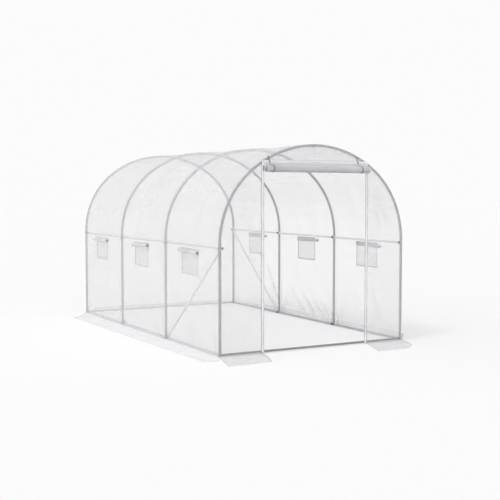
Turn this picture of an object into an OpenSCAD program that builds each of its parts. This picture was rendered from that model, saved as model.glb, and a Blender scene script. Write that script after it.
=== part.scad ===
// Walk-in polytunnel greenhouse: four bolted steel hoops under a film cover, with a doorway whose
// door is rolled up to its head, three roll-up windows a side and skirts that lie on the ground.
// Millimetres, +Z up. The doorway faces -Y, +X is to the right of someone who faces the doorway,
// and the origin is on the ground at the middle of the plan.

/* [Overall size] */
// Width between the centres of a hoop's legs
tunnel_w = 2000; // [1600:10:2600]
// Length between the centres of the front and back hoops
tunnel_l = 3500; // [2700:10:4500]
// Height at which the straight legs end and the arch begins
leg_h = 990; // [880:10:1300]

/* [Arch] */
// Length by which the top curve's radius is longer than the side curves'
crown_extra = 250; // [100:10:500]

/* [Steel tubes] */
// Diameter of the leg and arch tubes
hoop_d = 25; // [20:0.5:32]
// Diameter of the rail and brace tubes
rail_d = 19; // [14:0.5:22]
// Wall thickness of every tube
tube_wall = 1; // [0.8:0.1:1.5]

/* [Frame joints] */
// Length of the reduced end of one tube that slides into the next
spigot_l = 70; // [50:5:100]
// Drop from the top of a leg to the shoulder rails
shoulder_drop = 25; // [24:1:40]
// Height of the base rails' centres
base_rail_h = 16; // [14:1:30]
// Length of a rail's flattened end, from its bolt to the round tube
rail_end_l = 38; // [34:1:60]
// Length of a brace's flattened end, from its bolt to the round tube
brace_end_l = 46; // [44:1:70]
// Diameter of the bolts
bolt_d = 6; // [5:0.5:8]
// Diameter of the knob nuts inside the frame
knob_d = 22; // [16:1:26]
// Length of a knob nut
knob_l = 14; // [8:1:20]
// Diameter of the small nut under the top of each arch
nut_d = 12; // [10:1:18]
// Length of the small nut
nut_l = 8; // [5:1:12]
// Depth of the nut insert in each end of the front and back base rails
insert_l = 30; // [20:1:50]
// Clearance between pieces that seat on each other
gap = 0.3; // [0.2:0.1:0.5]

/* [Film cover] */
// Thickness of the film panels
film_t = 2.5; // [1:0.5:4]
// Thickness of zip tapes, bands, ties and window mesh
trim_t = 2; // [1:0.5:3]

/* [Ground skirts] */
// Width of the side skirts
side_skirt_w = 285; // [150:5:400]
// Length of the front and back skirts
end_skirt_l = 435; // [200:5:500]
// Length cut off a skirt's outer edge where a corner is mitred
corner_cut = 300; // [100:10:400]
// Length by which the left skirt flares past the front corner
corner_flare = 200; // [0:10:300]
// Sideways shift of the front skirts' outer edges
front_skirt_shift = 130; // [0:10:200]

/* [Doorway] */
// Width between the two zips
door_w = 1140; // [800:10:1300]
// Drop of the doorway's head below the front hoop's centre line, where the zips reach it
head_drop = 11; // [0:1:300]
// Width of a zip tape
zip_w = 22; // [15:1:40]
// Height of the band sewn across the head of the doorway
band_h = 25; // [15:1:40]
// Diameter of the rolled-up door
door_roll_d = 68; // [50:1:90]
// Length of the door roll that runs on past the right-hand zip
door_roll_past = 10; // [0:1:100]
// Places of the two ties along the door roll, from the middle of the doorway
tie_places = [-490, 480]; // [-540:10:600]
// Width of a tie
tie_w = 25; // [15:1:40]

/* [Windows] */
// Width of a window
window_w = 350; // [200:10:500]
// Height of a window
window_h = 245; // [150:5:400]
// Height of the windows' sills
window_sill_h = 690; // [500:10:700]
// Diameter of a rolled-up window flap
window_roll_d = 36; // [25:1:50]
// Length of a flap roll past each side of its window
window_roll_past = 25; // [20:1:80]
// Drop from the top of a window to the middle of its flap roll
window_roll_drop = 28; // [10:1:40]

/* [Hidden] */
$fn = 48;
ARC_FN = 240;
HOOPS = 4;
SIDES = ["left", "right"];

// The arch: two side curves and a flatter top curve that meets them smoothly, where the line to
// both centres runs 3 across for 4 up
half_w = tunnel_w / 2;
meet = [0.6, 0.8];
side_c = [meet[0] * crown_extra, leg_h];
side_r = half_w - side_c[0];
top_r = side_r + crown_extra;
top_c = side_c - crown_extra * meet;

meet_x = side_c[0] + meet[0] * side_r;
function hoop_z(x) = x > meet_x
    ? side_c[1] + sqrt(side_r * side_r - (x - side_c[0]) * (x - side_c[0]))
    : top_c[1] + sqrt(top_r * top_r - x * x);

// Lengths that cuts run past what they cut, in all and by a little
far = 4 * half_w;
over = 1;

// Tubes and their bolted joints
hoop_r = hoop_d / 2;
rail_r = rail_d / 2;
bolt_r = bolt_d / 2;
bolt_play = 0.2;
bolt_tip = 4;
hole_r = bolt_r + bolt_play;
bolt_out = hoop_r - bolt_play;
bay_l = tunnel_l / (HOOPS - 1);
flat_t = 2 * tube_wall;
flat_h = hoop_d - 1;
layer_t = flat_t + gap;
spigot_r = hoop_r - tube_wall - gap;
collar_l = 3;
joint_h = leg_h - spigot_l;
shoulder_rail_h = leg_h - shoulder_drop;
apex_bolt_x = -25;
apex_bolt_angle = asin(apex_bolt_x / top_r);
brace_drop = shoulder_rail_h - base_rail_h;
brace_l = norm([bay_l, brace_drop]);
brace_angle = atan2(brace_drop, bay_l);
first_layer_x = half_w - hoop_r - gap - flat_t / 2;
base_cross_l = 2 * (first_layer_x - flat_t / 2 - gap);
bore_l = insert_l - 5;

// The cover's layers, outwards from the tubes
film_in = hoop_r + gap;
film_out = film_in + film_t;
trim_in = film_out + gap;
trim_out = trim_in + trim_t;
door_in = trim_out + gap;
end_y = tunnel_l / 2;
wall_y = end_y + film_in;
face_y = end_y + film_out;
wall_x = half_w + film_out;

// The doorway and its rolled door
door_h = hoop_z(door_w / 2) - head_drop;
door_roll_r = door_roll_d / 2;
door_roll_y = -(end_y + door_in + door_roll_r);
tie_r = door_roll_r + gap + trim_t;
door_roll_z = door_h - band_h / 2 - gap - tie_r;
door_sheet_w = door_w - zip_w - 2 * gap;
zip_foot_h = 8;
zip_top_h = door_h + band_h;

// The windows and their rolled flaps
window_top_h = window_sill_h + window_h;
window_roll_r = window_roll_d / 2;
window_roll_z = window_top_h - window_roll_drop;

function hoop_y(i) = -end_y + (i - 1) * bay_l;
function window_y(bay) = hoop_y(bay) + bay_l / 2;
function layer_x(n) = first_layer_x - (n - 1) * layer_t;
// Rails bolt on in layers: the end bays' rails lie on the legs, and the middle bay's lies on them
function rail_layer(bay) = bay == 2 ? 2 : 1;
BRACE_LAYER = 3;

LEG_NODES = [for (side = SIDES, i = [1 : HOOPS]) str("leg_", side, "_", i)];
ARCH_NODES = [for (side = SIDES, i = [1 : HOOPS]) str("arch_", side, "_", i)];

// Mirrors its children to the side that the name gives; they are drawn for the right
module on_side(side) {
    if (side == "left") mirror([1, 0, 0]) children();
    else children();
}

// Lays a flat outline drawn in X and height upright, and runs it from y0 to y1
module upright(y0, y1) {
    translate([0, y1, 0]) rotate([90, 0, 0]) linear_extrude(height = y1 - y0) children();
}

module along_x() {
    rotate([0, 90, 0]) children();
}

module along_y() {
    rotate([-90, 0, 0]) children();
}

// ---- Steel frame ----

// A leg: a tube whose top is reduced to a spigot for the arch
module leg(side, i) {
    color("silver") on_side(side) translate([half_w, hoop_y(i), 0]) difference() {
        rotate_extrude() polygon([
            [hoop_r - tube_wall, 0], [hoop_r, 0], [hoop_r, joint_h], [spigot_r, joint_h],
            [spigot_r, leg_h], [spigot_r - tube_wall, leg_h], [spigot_r - tube_wall, joint_h - collar_l],
            [hoop_r - tube_wall, joint_h - collar_l]
        ]);
        for (z = [base_rail_h, shoulder_rail_h])
            translate([-hoop_d, 0, z]) along_x() cylinder(r = hole_r, h = 2 * hoop_d);
    }
}

// A rod that follows the right half of a hoop's centre line, from a height low on the leg up and
// over to the place top_x near the middle
module arch_rod(r, low, top_x) {
    translate([half_w, 0, low]) cylinder(r = r, h = leg_h - low);
    intersection() {
        ring(side_c, side_r, r);
        upright(-hoop_d, hoop_d) polygon([side_c, side_c + [far, 0], side_c + far * meet]);
    }
    intersection() {
        ring(top_c, top_r, r);
        upright(-hoop_d, hoop_d) polygon([
            top_c, top_c + far * meet, top_c + [-far, far], top_c + [-far, 0]
        ]);
        translate([top_x, -hoop_d, 0]) cube([far, 2 * hoop_d, far]);
    }
}

// A full ring of round bar in the plane of a hoop
module ring(c, ring_r, bar_r) {
    translate([c[0], 0, c[1]]) rotate([90, 0, 0])
        rotate_extrude($fn = ARC_FN) translate([ring_r, 0]) circle(r = bar_r);
}

// Half of an arch, drawn for the right; the half with a spigot reaches into the other at the top
module arch(side, i, spigot) {
    end_x = spigot ? gap : 0;
    foot_z = joint_h + gap;
    color("silver") on_side(side) translate([0, hoop_y(i), 0]) difference() {
        union() {
            arch_rod(hoop_r, foot_z, end_x);
            if (spigot) arch_rod(spigot_r, shoulder_rail_h, -spigot_l);
        }
        arch_rod(hoop_r - tube_wall, foot_z - over, spigot ? end_x + collar_l : -over);
        if (spigot) arch_rod(spigot_r - tube_wall, shoulder_rail_h, -spigot_l - over);
        translate([half_w - hoop_d, 0, shoulder_rail_h]) along_x() cylinder(r = hole_r, h = 2 * hoop_d);
        translate([0, 0, top_c[1]]) rotate([0, spigot ? apex_bolt_angle : -apex_bolt_angle, 0])
            translate([0, 0, top_r - hoop_d]) cylinder(r = hole_r, h = 2 * hoop_d);
    }
}

// A tube along +Y between two bolts, its ends flattened and drilled; the flats face X
module flat_end_tube(span, end_l) {
    flat_r = flat_h / 2;
    round_l = span - 2 * end_l;
    difference() {
        union() {
            translate([0, end_l, 0]) along_y() difference() {
                cylinder(r = rail_r, h = round_l);
                translate([0, 0, flat_t]) cylinder(r = rail_r - tube_wall, h = round_l - 2 * flat_t);
            }
            for (turn = [0, 180]) translate([0, turn == 0 ? 0 : span, 0]) rotate([turn, 0, 0]) {
                translate([-flat_t / 2, 0, 0]) along_x() cylinder(r = flat_r, h = flat_t);
                translate([-flat_t / 2, 0, -flat_r]) cube([flat_t, end_l + flat_t / 2, flat_h]);
            }
        }
        for (y = [0, span]) translate([-hoop_d, y, 0]) along_x() cylinder(r = hole_r, h = 2 * hoop_d);
    }
}

// The three lengths of rail along one side, one to a bay
module side_rail(side, height) {
    color("silver") on_side(side) for (bay = [1 : HOOPS - 1])
        translate([layer_x(rail_layer(bay)), hoop_y(bay), height]) flat_end_tube(bay_l, rail_end_l);
}

// A base rail across an end; its bored inserts take the corner legs' foot bolts
module cross_rail(i) {
    color("silver") translate([-base_cross_l / 2, hoop_y(i), base_rail_h]) along_x() difference() {
        cylinder(r = rail_r, h = base_cross_l);
        translate([0, 0, insert_l]) cylinder(r = rail_r - tube_wall, h = base_cross_l - 2 * insert_l);
        for (z = [-over, base_cross_l - bore_l])
            translate([0, 0, z]) cylinder(r = hole_r, h = bore_l + over);
    }
}

// A brace from the shoulder bolt of an end hoop down to the foot bolt of the hoop beside it
module brace(side, end_hoop, toward) {
    color("silver") on_side(side) translate([layer_x(BRACE_LAYER), hoop_y(end_hoop), shoulder_rail_h])
        mirror([0, toward > 0 ? 0 : 1, 0]) rotate([-brace_angle, 0, 0]) flat_end_tube(brace_l, brace_end_l);
}

// Number of flattened ends that one bolt holds, counted in layers
function ends_at(side, i, shoulder) =
    (side == "left" && i == (shoulder ? 1 : 2)) || (side == "right" && i == (shoulder ? HOOPS : HOOPS - 1))
        ? BRACE_LAYER : (i == 1 || i == HOOPS) ? 1 : 2;

// A bolt through a leg with its knob nut inside, drawn for the right
module knob_bolt(layers) {
    seat_x = -hoop_r - layers * layer_t - gap;
    tip_x = seat_x - knob_l - bolt_tip;
    translate([tip_x, 0, 0]) along_x() cylinder(r = bolt_r, h = bolt_out - tip_x);
    translate([seat_x - knob_l, 0, 0]) along_x() cylinder(r = knob_d / 2, h = knob_l);
}

// A corner's foot bolt, which screws into the insert of the base rail across the end
module insert_bolt() {
    tip_x = -hoop_r - layer_t - gap - bore_l + bolt_tip;
    translate([tip_x, 0, 0]) along_x() cylinder(r = bolt_r, h = bolt_out - tip_x);
}

// The washer that fills the middle layer where a brace has no second rail under its end
module spacer() {
    translate([-hoop_r - 2 * layer_t, 0, 0]) along_x() cylinder(r = 2 * bolt_r, h = flat_t);
}

module foot_bolts() {
    color("dimgray") for (side = SIDES, i = [1 : HOOPS]) on_side(side)
        translate([half_w, hoop_y(i), base_rail_h]) {
            if (i == 1 || i == HOOPS) insert_bolt();
            else knob_bolt(ends_at(side, i, false));
        }
}

module shoulder_bolts() {
    color("dimgray") for (side = SIDES, i = [1 : HOOPS]) on_side(side)
        translate([half_w, hoop_y(i), shoulder_rail_h]) {
            layers = ends_at(side, i, true);
            knob_bolt(layers);
            if (layers == BRACE_LAYER) spacer();
        }
}

// The bolt and small nut that hold the two halves of each arch together
module arch_bolts() {
    nut_top = top_r - hoop_r - gap;
    color("dimgray") for (i = [1 : HOOPS])
        translate([0, hoop_y(i), top_c[1]]) rotate([0, apex_bolt_angle, 0]) {
            translate([0, 0, nut_top - nut_l - bolt_tip / 2])
                cylinder(r = bolt_r, h = hoop_d + nut_l + bolt_tip / 2);
            translate([0, 0, nut_top - nut_l]) cylinder(d = nut_d, h = nut_l, $fn = 6);
        }
}

// ---- Film cover ----

// A band that follows the arch, between two offsets outwards from its centre line
module arch_band(inner, outer) {
    for (flip = [0, 1]) mirror([flip, 0]) intersection() {
        translate(side_c) flat_ring(side_r + inner, side_r + outer);
        polygon([side_c, side_c + [far, 0], side_c + far * meet]);
    }
    intersection() {
        translate(top_c) flat_ring(top_r + inner, top_r + outer);
        polygon([top_c, top_c + far * meet, top_c + far * [-meet[0], meet[1]]]);
    }
}

// A flat ring, or a whole disc where its inner radius is not above zero
module flat_ring(inner, outer) {
    difference() {
        circle(r = outer, $fn = ARC_FN);
        if (inner > 0) circle(r = inner, $fn = ARC_FN);
    }
}

// The whole end of the tunnel, to the outside of the film
module end_outline() {
    arch_band(-far, film_out);
    translate([-wall_x, 0]) square([2 * wall_x, leg_h]);
}

module side_wall(side) {
    color("white", 0.4) on_side(side) difference() {
        translate([half_w + film_in, -wall_y, 0]) cube([film_t, 2 * wall_y, leg_h]);
        for (bay = [1 : HOOPS - 1])
            translate([half_w, window_y(bay) - window_w / 2, window_sill_h])
                cube([2 * film_out, window_w, window_h]);
    }
}

module cover_roof() {
    color("white", 0.4) upright(-wall_y, wall_y) arch_band(film_in, film_out);
}

module cover_back() {
    color("white", 0.4) upright(wall_y, face_y) end_outline();
}

module front_side(side) {
    color("white", 0.4) on_side(side) upright(-face_y, -wall_y) intersection() {
        end_outline();
        translate([door_w / 2, 0]) square([half_w, door_h]);
    }
}

module cover_front_gable() {
    color("gainsboro", 0.5) upright(-face_y, -wall_y) intersection() {
        end_outline();
        translate([-2 * half_w, door_h]) square([4 * half_w, top_r]);
    }
}

// The band over the head of the doorway, which the door's top edge is sewn to
module door_head_band() {
    color("whitesmoke") translate([-door_sheet_w / 2, -(end_y + trim_out), door_h - band_h / 2])
        cube([door_sheet_w, trim_t, band_h]);
}

module door_zips() {
    color("whitesmoke") for (side = SIDES) on_side(side)
        translate([(door_w - zip_w) / 2, -(end_y + trim_out), zip_foot_h])
            cube([zip_w, trim_t, zip_top_h - zip_foot_h]);
}

// The door sheet: a short length hangs from the band, and the rest is rolled up
module door_roll() {
    color("whitesmoke") {
        translate([-door_sheet_w / 2, door_roll_y, door_roll_z])
            along_x() cylinder(r = door_roll_r, h = door_sheet_w + door_roll_past);
        translate([-door_sheet_w / 2, -(end_y + door_in + film_t), door_roll_z])
            cube([door_sheet_w, film_t, door_h + band_h / 2 - door_roll_z]);
    }
}

// Ties round the door roll, open behind where the door sheet comes down
module door_ties() {
    sheet_y = -(end_y + door_in + film_t + gap);
    color("gray") for (x = tie_places) difference() {
        translate([x - tie_w / 2, door_roll_y, door_roll_z]) along_x() difference() {
            cylinder(r = tie_r, h = tie_w);
            translate([0, 0, -over]) cylinder(r = door_roll_r + gap, h = tie_w + 2 * over);
        }
        translate([x - tie_w, sheet_y, door_roll_z]) cube([2 * tie_w, tie_r, tie_r]);
    }
}

module window_mesh() {
    color("lightgray") for (side = SIDES, bay = [1 : HOOPS - 1]) on_side(side)
        translate([half_w + film_in, window_y(bay) - window_w / 2 + gap, window_sill_h + gap])
            cube([trim_t, window_w - 2 * gap, window_h - 2 * gap]);
}

module window_rolls() {
    roll_l = window_w + 2 * window_roll_past;
    color("white") for (side = SIDES, bay = [1 : HOOPS - 1]) on_side(side)
        translate([wall_x + gap + window_roll_r, window_y(bay) - roll_l / 2, window_roll_z])
            along_y() cylinder(r = window_roll_r, h = roll_l);
}

// ---- Ground skirts ----

// The left skirt flares past the front corner; every other corner is mitred
module side_skirt(side) {
    front = side == "left" ? -wall_y - corner_flare : -wall_y + corner_cut;
    color("gainsboro", 0.6) on_side(side) linear_extrude(height = film_t) polygon([
        [wall_x, -wall_y], [wall_x + side_skirt_w, front],
        [wall_x + side_skirt_w, wall_y - corner_cut], [wall_x, wall_y]
    ]);
}

module skirt_front() {
    door_edge = door_w / 2 + zip_w;
    flaps = [[-wall_x, -door_edge], [door_edge, wall_x]];
    color("gainsboro", 0.6) linear_extrude(height = film_t) for (x = flaps)
        polygon([
            [x[0], -face_y], [x[0] - front_skirt_shift, -face_y - end_skirt_l],
            [x[1] - front_skirt_shift, -face_y - end_skirt_l], [x[1], -face_y]
        ]);
}

module skirt_back() {
    color("gainsboro", 0.6) linear_extrude(height = film_t) polygon([
        [-wall_x, face_y], [wall_x, face_y],
        [wall_x - corner_cut, face_y + end_skirt_l], [-wall_x + corner_cut, face_y + end_skirt_l]
    ]);
}

// ---- Nodes ----

for (side = SIDES, i = [1 : HOOPS]) {
    leg(side, i);
    arch(side, i, side == "right");
}
side_rail("left", base_rail_h);  // base_rail_left
side_rail("right", base_rail_h);  // base_rail_right
cross_rail(1);  // base_rail_front
cross_rail(HOOPS);  // base_rail_back
side_rail("left", shoulder_rail_h);  // shoulder_rail_left
side_rail("right", shoulder_rail_h);  // shoulder_rail_right
brace("left", 1, 1);  // brace_front
brace("right", HOOPS, -1);  // brace_back
foot_bolts();
shoulder_bolts();
arch_bolts();
side_wall("left");  // cover_left_wall
side_wall("right");  // cover_right_wall
cover_roof();
cover_back();
front_side("left");  // cover_front_left
front_side("right");  // cover_front_right
cover_front_gable();
door_head_band();
door_zips();
door_roll();
door_ties();
window_mesh();
window_rolls();
side_skirt("left");  // skirt_left
side_skirt("right");  // skirt_right
skirt_front();
skirt_back();
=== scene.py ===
"""Walk-in polytunnel greenhouse: steel hoops, rails and braces under a clear film cover.

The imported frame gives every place; this script gives each piece its finished shape and surface.
Metres, +Z up, the doorway faces -Y.
"""

import math

import bmesh
import bpy
import numpy as np
from bpy.props import FloatProperty, FloatVectorProperty, IntProperty, PointerProperty
from mathutils import Matrix, Vector


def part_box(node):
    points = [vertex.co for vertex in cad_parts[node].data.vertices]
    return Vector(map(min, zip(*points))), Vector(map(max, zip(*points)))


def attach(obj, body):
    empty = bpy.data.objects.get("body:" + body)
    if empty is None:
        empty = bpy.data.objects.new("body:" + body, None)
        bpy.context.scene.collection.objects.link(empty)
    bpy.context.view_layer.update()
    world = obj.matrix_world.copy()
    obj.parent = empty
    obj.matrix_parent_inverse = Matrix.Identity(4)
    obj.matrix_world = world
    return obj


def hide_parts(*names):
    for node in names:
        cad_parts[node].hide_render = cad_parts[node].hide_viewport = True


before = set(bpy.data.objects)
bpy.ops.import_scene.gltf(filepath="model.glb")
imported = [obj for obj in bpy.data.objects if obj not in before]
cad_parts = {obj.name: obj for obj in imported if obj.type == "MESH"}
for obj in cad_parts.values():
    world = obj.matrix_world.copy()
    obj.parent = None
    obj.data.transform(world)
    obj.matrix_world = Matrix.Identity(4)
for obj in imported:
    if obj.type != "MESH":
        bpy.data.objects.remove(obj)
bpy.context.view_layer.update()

bl_info = {
    "name": "Polytunnel greenhouse",
    "version": (1, 0, 0),
    "blender": (4, 5, 0),
    "location": "3D View > Sidebar > Polytunnel",
    "description": "Builds a walk-in film tunnel with its hoops, cover, door, windows and skirts",
    "category": "Object",
}

BODY = "root"
SIDES = {"left": -1.0, "right": 1.0}
HOOPS = 4
BAYS = HOOPS - 1


# ---- Sizes that the frame gives ----


def middle(node):
    low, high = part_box(node)
    return (low + high) / 2


HALF_W = middle("leg_right_1").x
HOOP_Y = [middle(f"leg_right_{i + 1}").y for i in range(HOOPS)]
END_Y = HOOP_Y[-1]
BAY_L = HOOP_Y[1] - HOOP_Y[0]
TUBE_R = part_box("leg_right_1")[1].x - HALF_W
LEG_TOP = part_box("leg_right_1")[1].z
RAIL_R = (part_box("base_rail_front")[1].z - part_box("base_rail_front")[0].z) / 2
BASE_RAIL_Z = middle("base_rail_front").z
SHOULDER_RAIL_Z = middle("shoulder_rail_left").z
DOOR_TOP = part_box("cover_front_gable")[0].z
ZIP_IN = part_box("door_zips")[1].x - 0.022
ZIP_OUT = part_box("door_zips")[1].x
PANEL_IN = -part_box("cover_front_left")[1].x
ROLL_LOW, ROLL_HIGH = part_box("door_roll")
FILM_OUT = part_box("cover_roof")[1].x - HALF_W


def hex_colour(text):
    """A colour written as sRGB hex, as linear numbers."""
    channels = [int(text[i : i + 2], 16) / 255 for i in (1, 3, 5)]
    return [c / 12.92 if c <= 0.04045 else ((c + 0.055) / 1.055) ** 2.4 for c in channels]


# ---- Settings ----


class TubeSettings(bpy.types.PropertyGroup):
    crown: FloatProperty(
        name="Crown", description="Length by which the top curve's radius is longer than the side curves'",
        default=0.25, min=0.1, max=0.5, unit="LENGTH")
    joint_drop: FloatProperty(
        name="Joint drop", description="Distance from the start of the arch down to a leg's joint",
        default=0.07, min=0.0, max=0.2, unit="LENGTH")
    sides: IntProperty(
        name="Sides", description="Flat faces round a tube", default=28, min=12, max=48)
    flat_l: FloatProperty(
        name="Flattened end", description="Length over which a rail's end is pressed flat",
        default=0.038, min=0.02, max=0.08, unit="LENGTH")
    colour: FloatVectorProperty(
        name="Zinc", description="Colour of the galvanised tubes", subtype="COLOR",
        size=3, default=hex_colour("#b2b4b8"), min=0, max=1)


class FilmSettings(bpy.types.PropertyGroup):
    thickness: FloatProperty(
        name="Thickness", description="Thickness of the film with its coating",
        default=0.0007, min=0.0002, max=0.002, unit="LENGTH")
    sag: FloatProperty(
        name="Sag", description="Depth to which the roof film draws in between two hoops",
        default=0.009, min=0.0, max=0.02, unit="LENGTH")
    slack: FloatProperty(
        name="Slack", description="Height of the loose waves in the walls",
        default=0.004, min=0.0, max=0.01, unit="LENGTH")
    fold: FloatProperty(
        name="Folds", description="Height of the folds round the hoops' feet",
        default=0.007, min=0.0, max=0.012, unit="LENGTH")
    cover: FloatProperty(
        name="Milkiness", description="Share of light that one skin of the film stops",
        default=0.14, min=0.0, max=1.0, subtype="FACTOR")
    colour: FloatVectorProperty(
        name="Film", description="Colour of the polyethylene film", subtype="COLOR",
        size=3, default=hex_colour("#f2f2f3"), min=0, max=1)


class DoorSettings(bpy.types.PropertyGroup):
    turns: IntProperty(
        name="Turns", description="Turns of film in the rolled door", default=12, min=3, max=14)
    tooth_pitch: FloatProperty(
        name="Zip pitch", description="Distance from tooth to tooth of the zips",
        default=0.004, min=0.002, max=0.01, unit="LENGTH")
    tape_colour: FloatVectorProperty(
        name="Tape", description="Colour of the zip tapes and bands", subtype="COLOR",
        size=3, default=hex_colour("#f4f5f6"), min=0, max=1)


class WindowSettings(bpy.types.PropertyGroup):
    turns: FloatProperty(
        name="Turns", description="Turns of film in a rolled flap", default=4.2, min=2, max=6)
    binding: FloatProperty(
        name="Binding", description="Width of the tape round a window",
        default=0.014, min=0.005, max=0.03, unit="LENGTH")


class SkirtSettings(bpy.types.PropertyGroup):
    ripple: FloatProperty(
        name="Ripple", description="Height of the ripples in the film that lies on the ground",
        default=0.006, min=0.0, max=0.01, unit="LENGTH")


class StageSettings(bpy.types.PropertyGroup):
    sun: FloatProperty(
        name="Key light", description="Strength of the soft key light", default=0.45, min=0, max=5)
    sky: FloatProperty(
        name="Fill light", description="Strength of the light from all round", default=0.745, min=0, max=3)
    backdrop: FloatVectorProperty(
        name="Backdrop", description="Colour of the white background", subtype="COLOR",
        size=3, default=hex_colour("#fcfbfc"), min=0, max=1)


# ---- Helpers for nodes, materials and meshes ----


def add_node(tree, kind, links=None, values=None, **settings):
    """Adds a node, sets its properties and its inputs' values, and links the inputs named in links."""
    node = tree.nodes.new(kind)
    for key, value in settings.items():
        setattr(node, key, value)
    for key, value in (values or {}).items():
        node.inputs[key].default_value = value
    for key, source in (links or {}).items():
        tree.links.new(source, node.inputs[key])
    return node


def new_material(name):
    material = bpy.data.materials.new(name)
    material.use_nodes = True
    tree = material.node_tree
    tree.nodes.clear()
    return material, tree


def finish_material(tree, shader):
    add_node(tree, "ShaderNodeOutputMaterial", {"Surface": shader})


def mottled(tree, place, scale, low, high, detail=3.0):
    """A grey that wanders between low and high; scale is in patches a metre."""
    cloud = add_node(tree, "ShaderNodeTexNoise", {"Vector": place}, {"Scale": scale, "Detail": detail})
    return add_node(
        tree, "ShaderNodeMapRange", {"Value": cloud.outputs["Fac"]},
        {"From Min": 0.3, "From Max": 0.7, "To Min": low, "To Max": high}).outputs["Result"]


def scaled(colour, factor):
    return [min(1.0, c * factor) for c in colour]


def plain_mesh(name, points, faces, material, smooth=True, sharp=50.0):
    """A mesh object from points and faces."""
    mesh = bpy.data.meshes.new(name)
    mesh.from_pydata([tuple(p) for p in points], [], [tuple(f) for f in faces])
    mesh.validate()
    mesh.materials.append(material)
    return placed(name, mesh, smooth, sharp)


def placed(name, mesh, smooth=True, sharp=50.0):
    mesh.name = name
    mesh.polygons.foreach_set("use_smooth", np.full(len(mesh.polygons), smooth))
    if smooth:
        mesh.set_sharp_from_angle(angle=math.radians(sharp))
    piece = bpy.data.objects.new(name, mesh)
    bpy.context.scene.collection.objects.link(piece)
    return piece


def wander(a, b, seed, softness=1.0):
    """Smooth wandering values between about -1 and 1 over a and b, the same on every run."""
    luck = np.random.default_rng(seed)
    total = np.zeros(np.broadcast(a, b).shape)
    for k in range(7):
        turn = luck.uniform(0, 2 * math.pi)
        reach = luck.uniform(0.6, 1.9) / softness
        phase = luck.uniform(0, 2 * math.pi)
        bend = luck.uniform(0.3, 0.9)
        along = math.cos(turn) * a + math.sin(turn) * b
        across = -math.sin(turn) * a + math.cos(turn) * b
        total = total + np.sin(2 * math.pi * reach * along + phase + bend * np.sin(2 * math.pi * reach * 0.6 * across + 2 * phase))
    return total / 3.2


def ease(value, low, high):
    t = np.clip((value - low) / (high - low), 0, 1)
    return t * t * (3 - 2 * t)


def ridge(distance, width):
    """A soft-edged ridge of height 1 that falls away over width."""
    return np.exp(-np.abs(distance) / width)


def film_mesh(name, grid, material, thickness, kept=None, fold=None):
    """A closed skin of film round a grid of points; kept says which cells are film, and fold is
    how much each point stops and greys: real doubled layers at hems, painted shade at creases and
    under rolls. Points that meet are welded."""
    rows, columns = grid.shape[:2]
    index = np.arange(rows * columns).reshape(rows, columns)
    quads = np.stack([index[:-1, :-1], index[:-1, 1:], index[1:, 1:], index[1:, :-1]], -1).reshape(-1, 4)
    if kept is not None:
        quads = quads[kept.reshape(-1)]
    points = grid.reshape(-1, 3)
    _, first, same = np.unique(
        np.round(points * 1e5).astype(np.int64), axis=0, return_index=True, return_inverse=True)
    same = same.reshape(-1)
    points, quads = points[first], same[quads]
    fold = np.zeros(len(points)) if fold is None else fold.reshape(-1)[first]
    faces = []
    for quad in quads:
        face = [p for k, p in enumerate(quad) if p != quad[k - 1]]
        if len(face) > 2:
            faces.append(face)
    used = np.unique(np.concatenate([np.array(f) for f in faces]))
    renumber = np.full(len(points), -1)
    renumber[used] = np.arange(len(used))
    points, fold = points[used], fold[used]
    faces = [[int(renumber[p]) for p in f] for f in faces]
    normals = np.zeros_like(points)
    for size in (3, 4):
        some = np.array([f for f in faces if len(f) == size], int)
        if len(some):
            a, b, c, d = points[some[:, 0]], points[some[:, 1]], points[some[:, 2]], points[some[:, -1]]
            facing = np.cross(c - a, d - b) if size == 4 else np.cross(b - a, c - a)
            for k in range(size):
                np.add.at(normals, some[:, k], facing)
    normals /= np.maximum(np.linalg.norm(normals, axis=1, keepdims=True), 1e-12)
    n = len(points)
    skin = np.concatenate([points + normals * thickness / 2, points - normals * thickness / 2])
    closed = faces + [[p + n for p in reversed(f)] for f in faces]
    seen = {}
    for f in faces:
        for k in range(len(f)):
            a, b = f[k], f[(k + 1) % len(f)]
            seen[(a, b)] = True
    for a, b in list(seen):
        if (b, a) not in seen:
            closed.append([b, a, a + n, b + n])
    mesh = bpy.data.meshes.new(name)
    mesh.from_pydata([tuple(p) for p in skin], [], closed)
    mesh.materials.append(material)
    crease = mesh.attributes.new("fold", "FLOAT", "POINT")
    crease.data.foreach_set("value", np.tile(fold, 2).astype(np.float32))
    return placed(name, mesh)


def creasing(height, step, strength):
    """How creased a grid of heights is, from 0 to 1, by how sharply it bends."""
    bend = np.zeros_like(height)
    bend[1:-1] += np.abs(height[2:] - 2 * height[1:-1] + height[:-2])
    bend[:, 1:-1] += np.abs(height[:, 2:] - 2 * height[:, 1:-1] + height[:, :-2])
    return np.clip(bend / step**2 * strength, 0, 1)


# ---- The hoop's line ----


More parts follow.
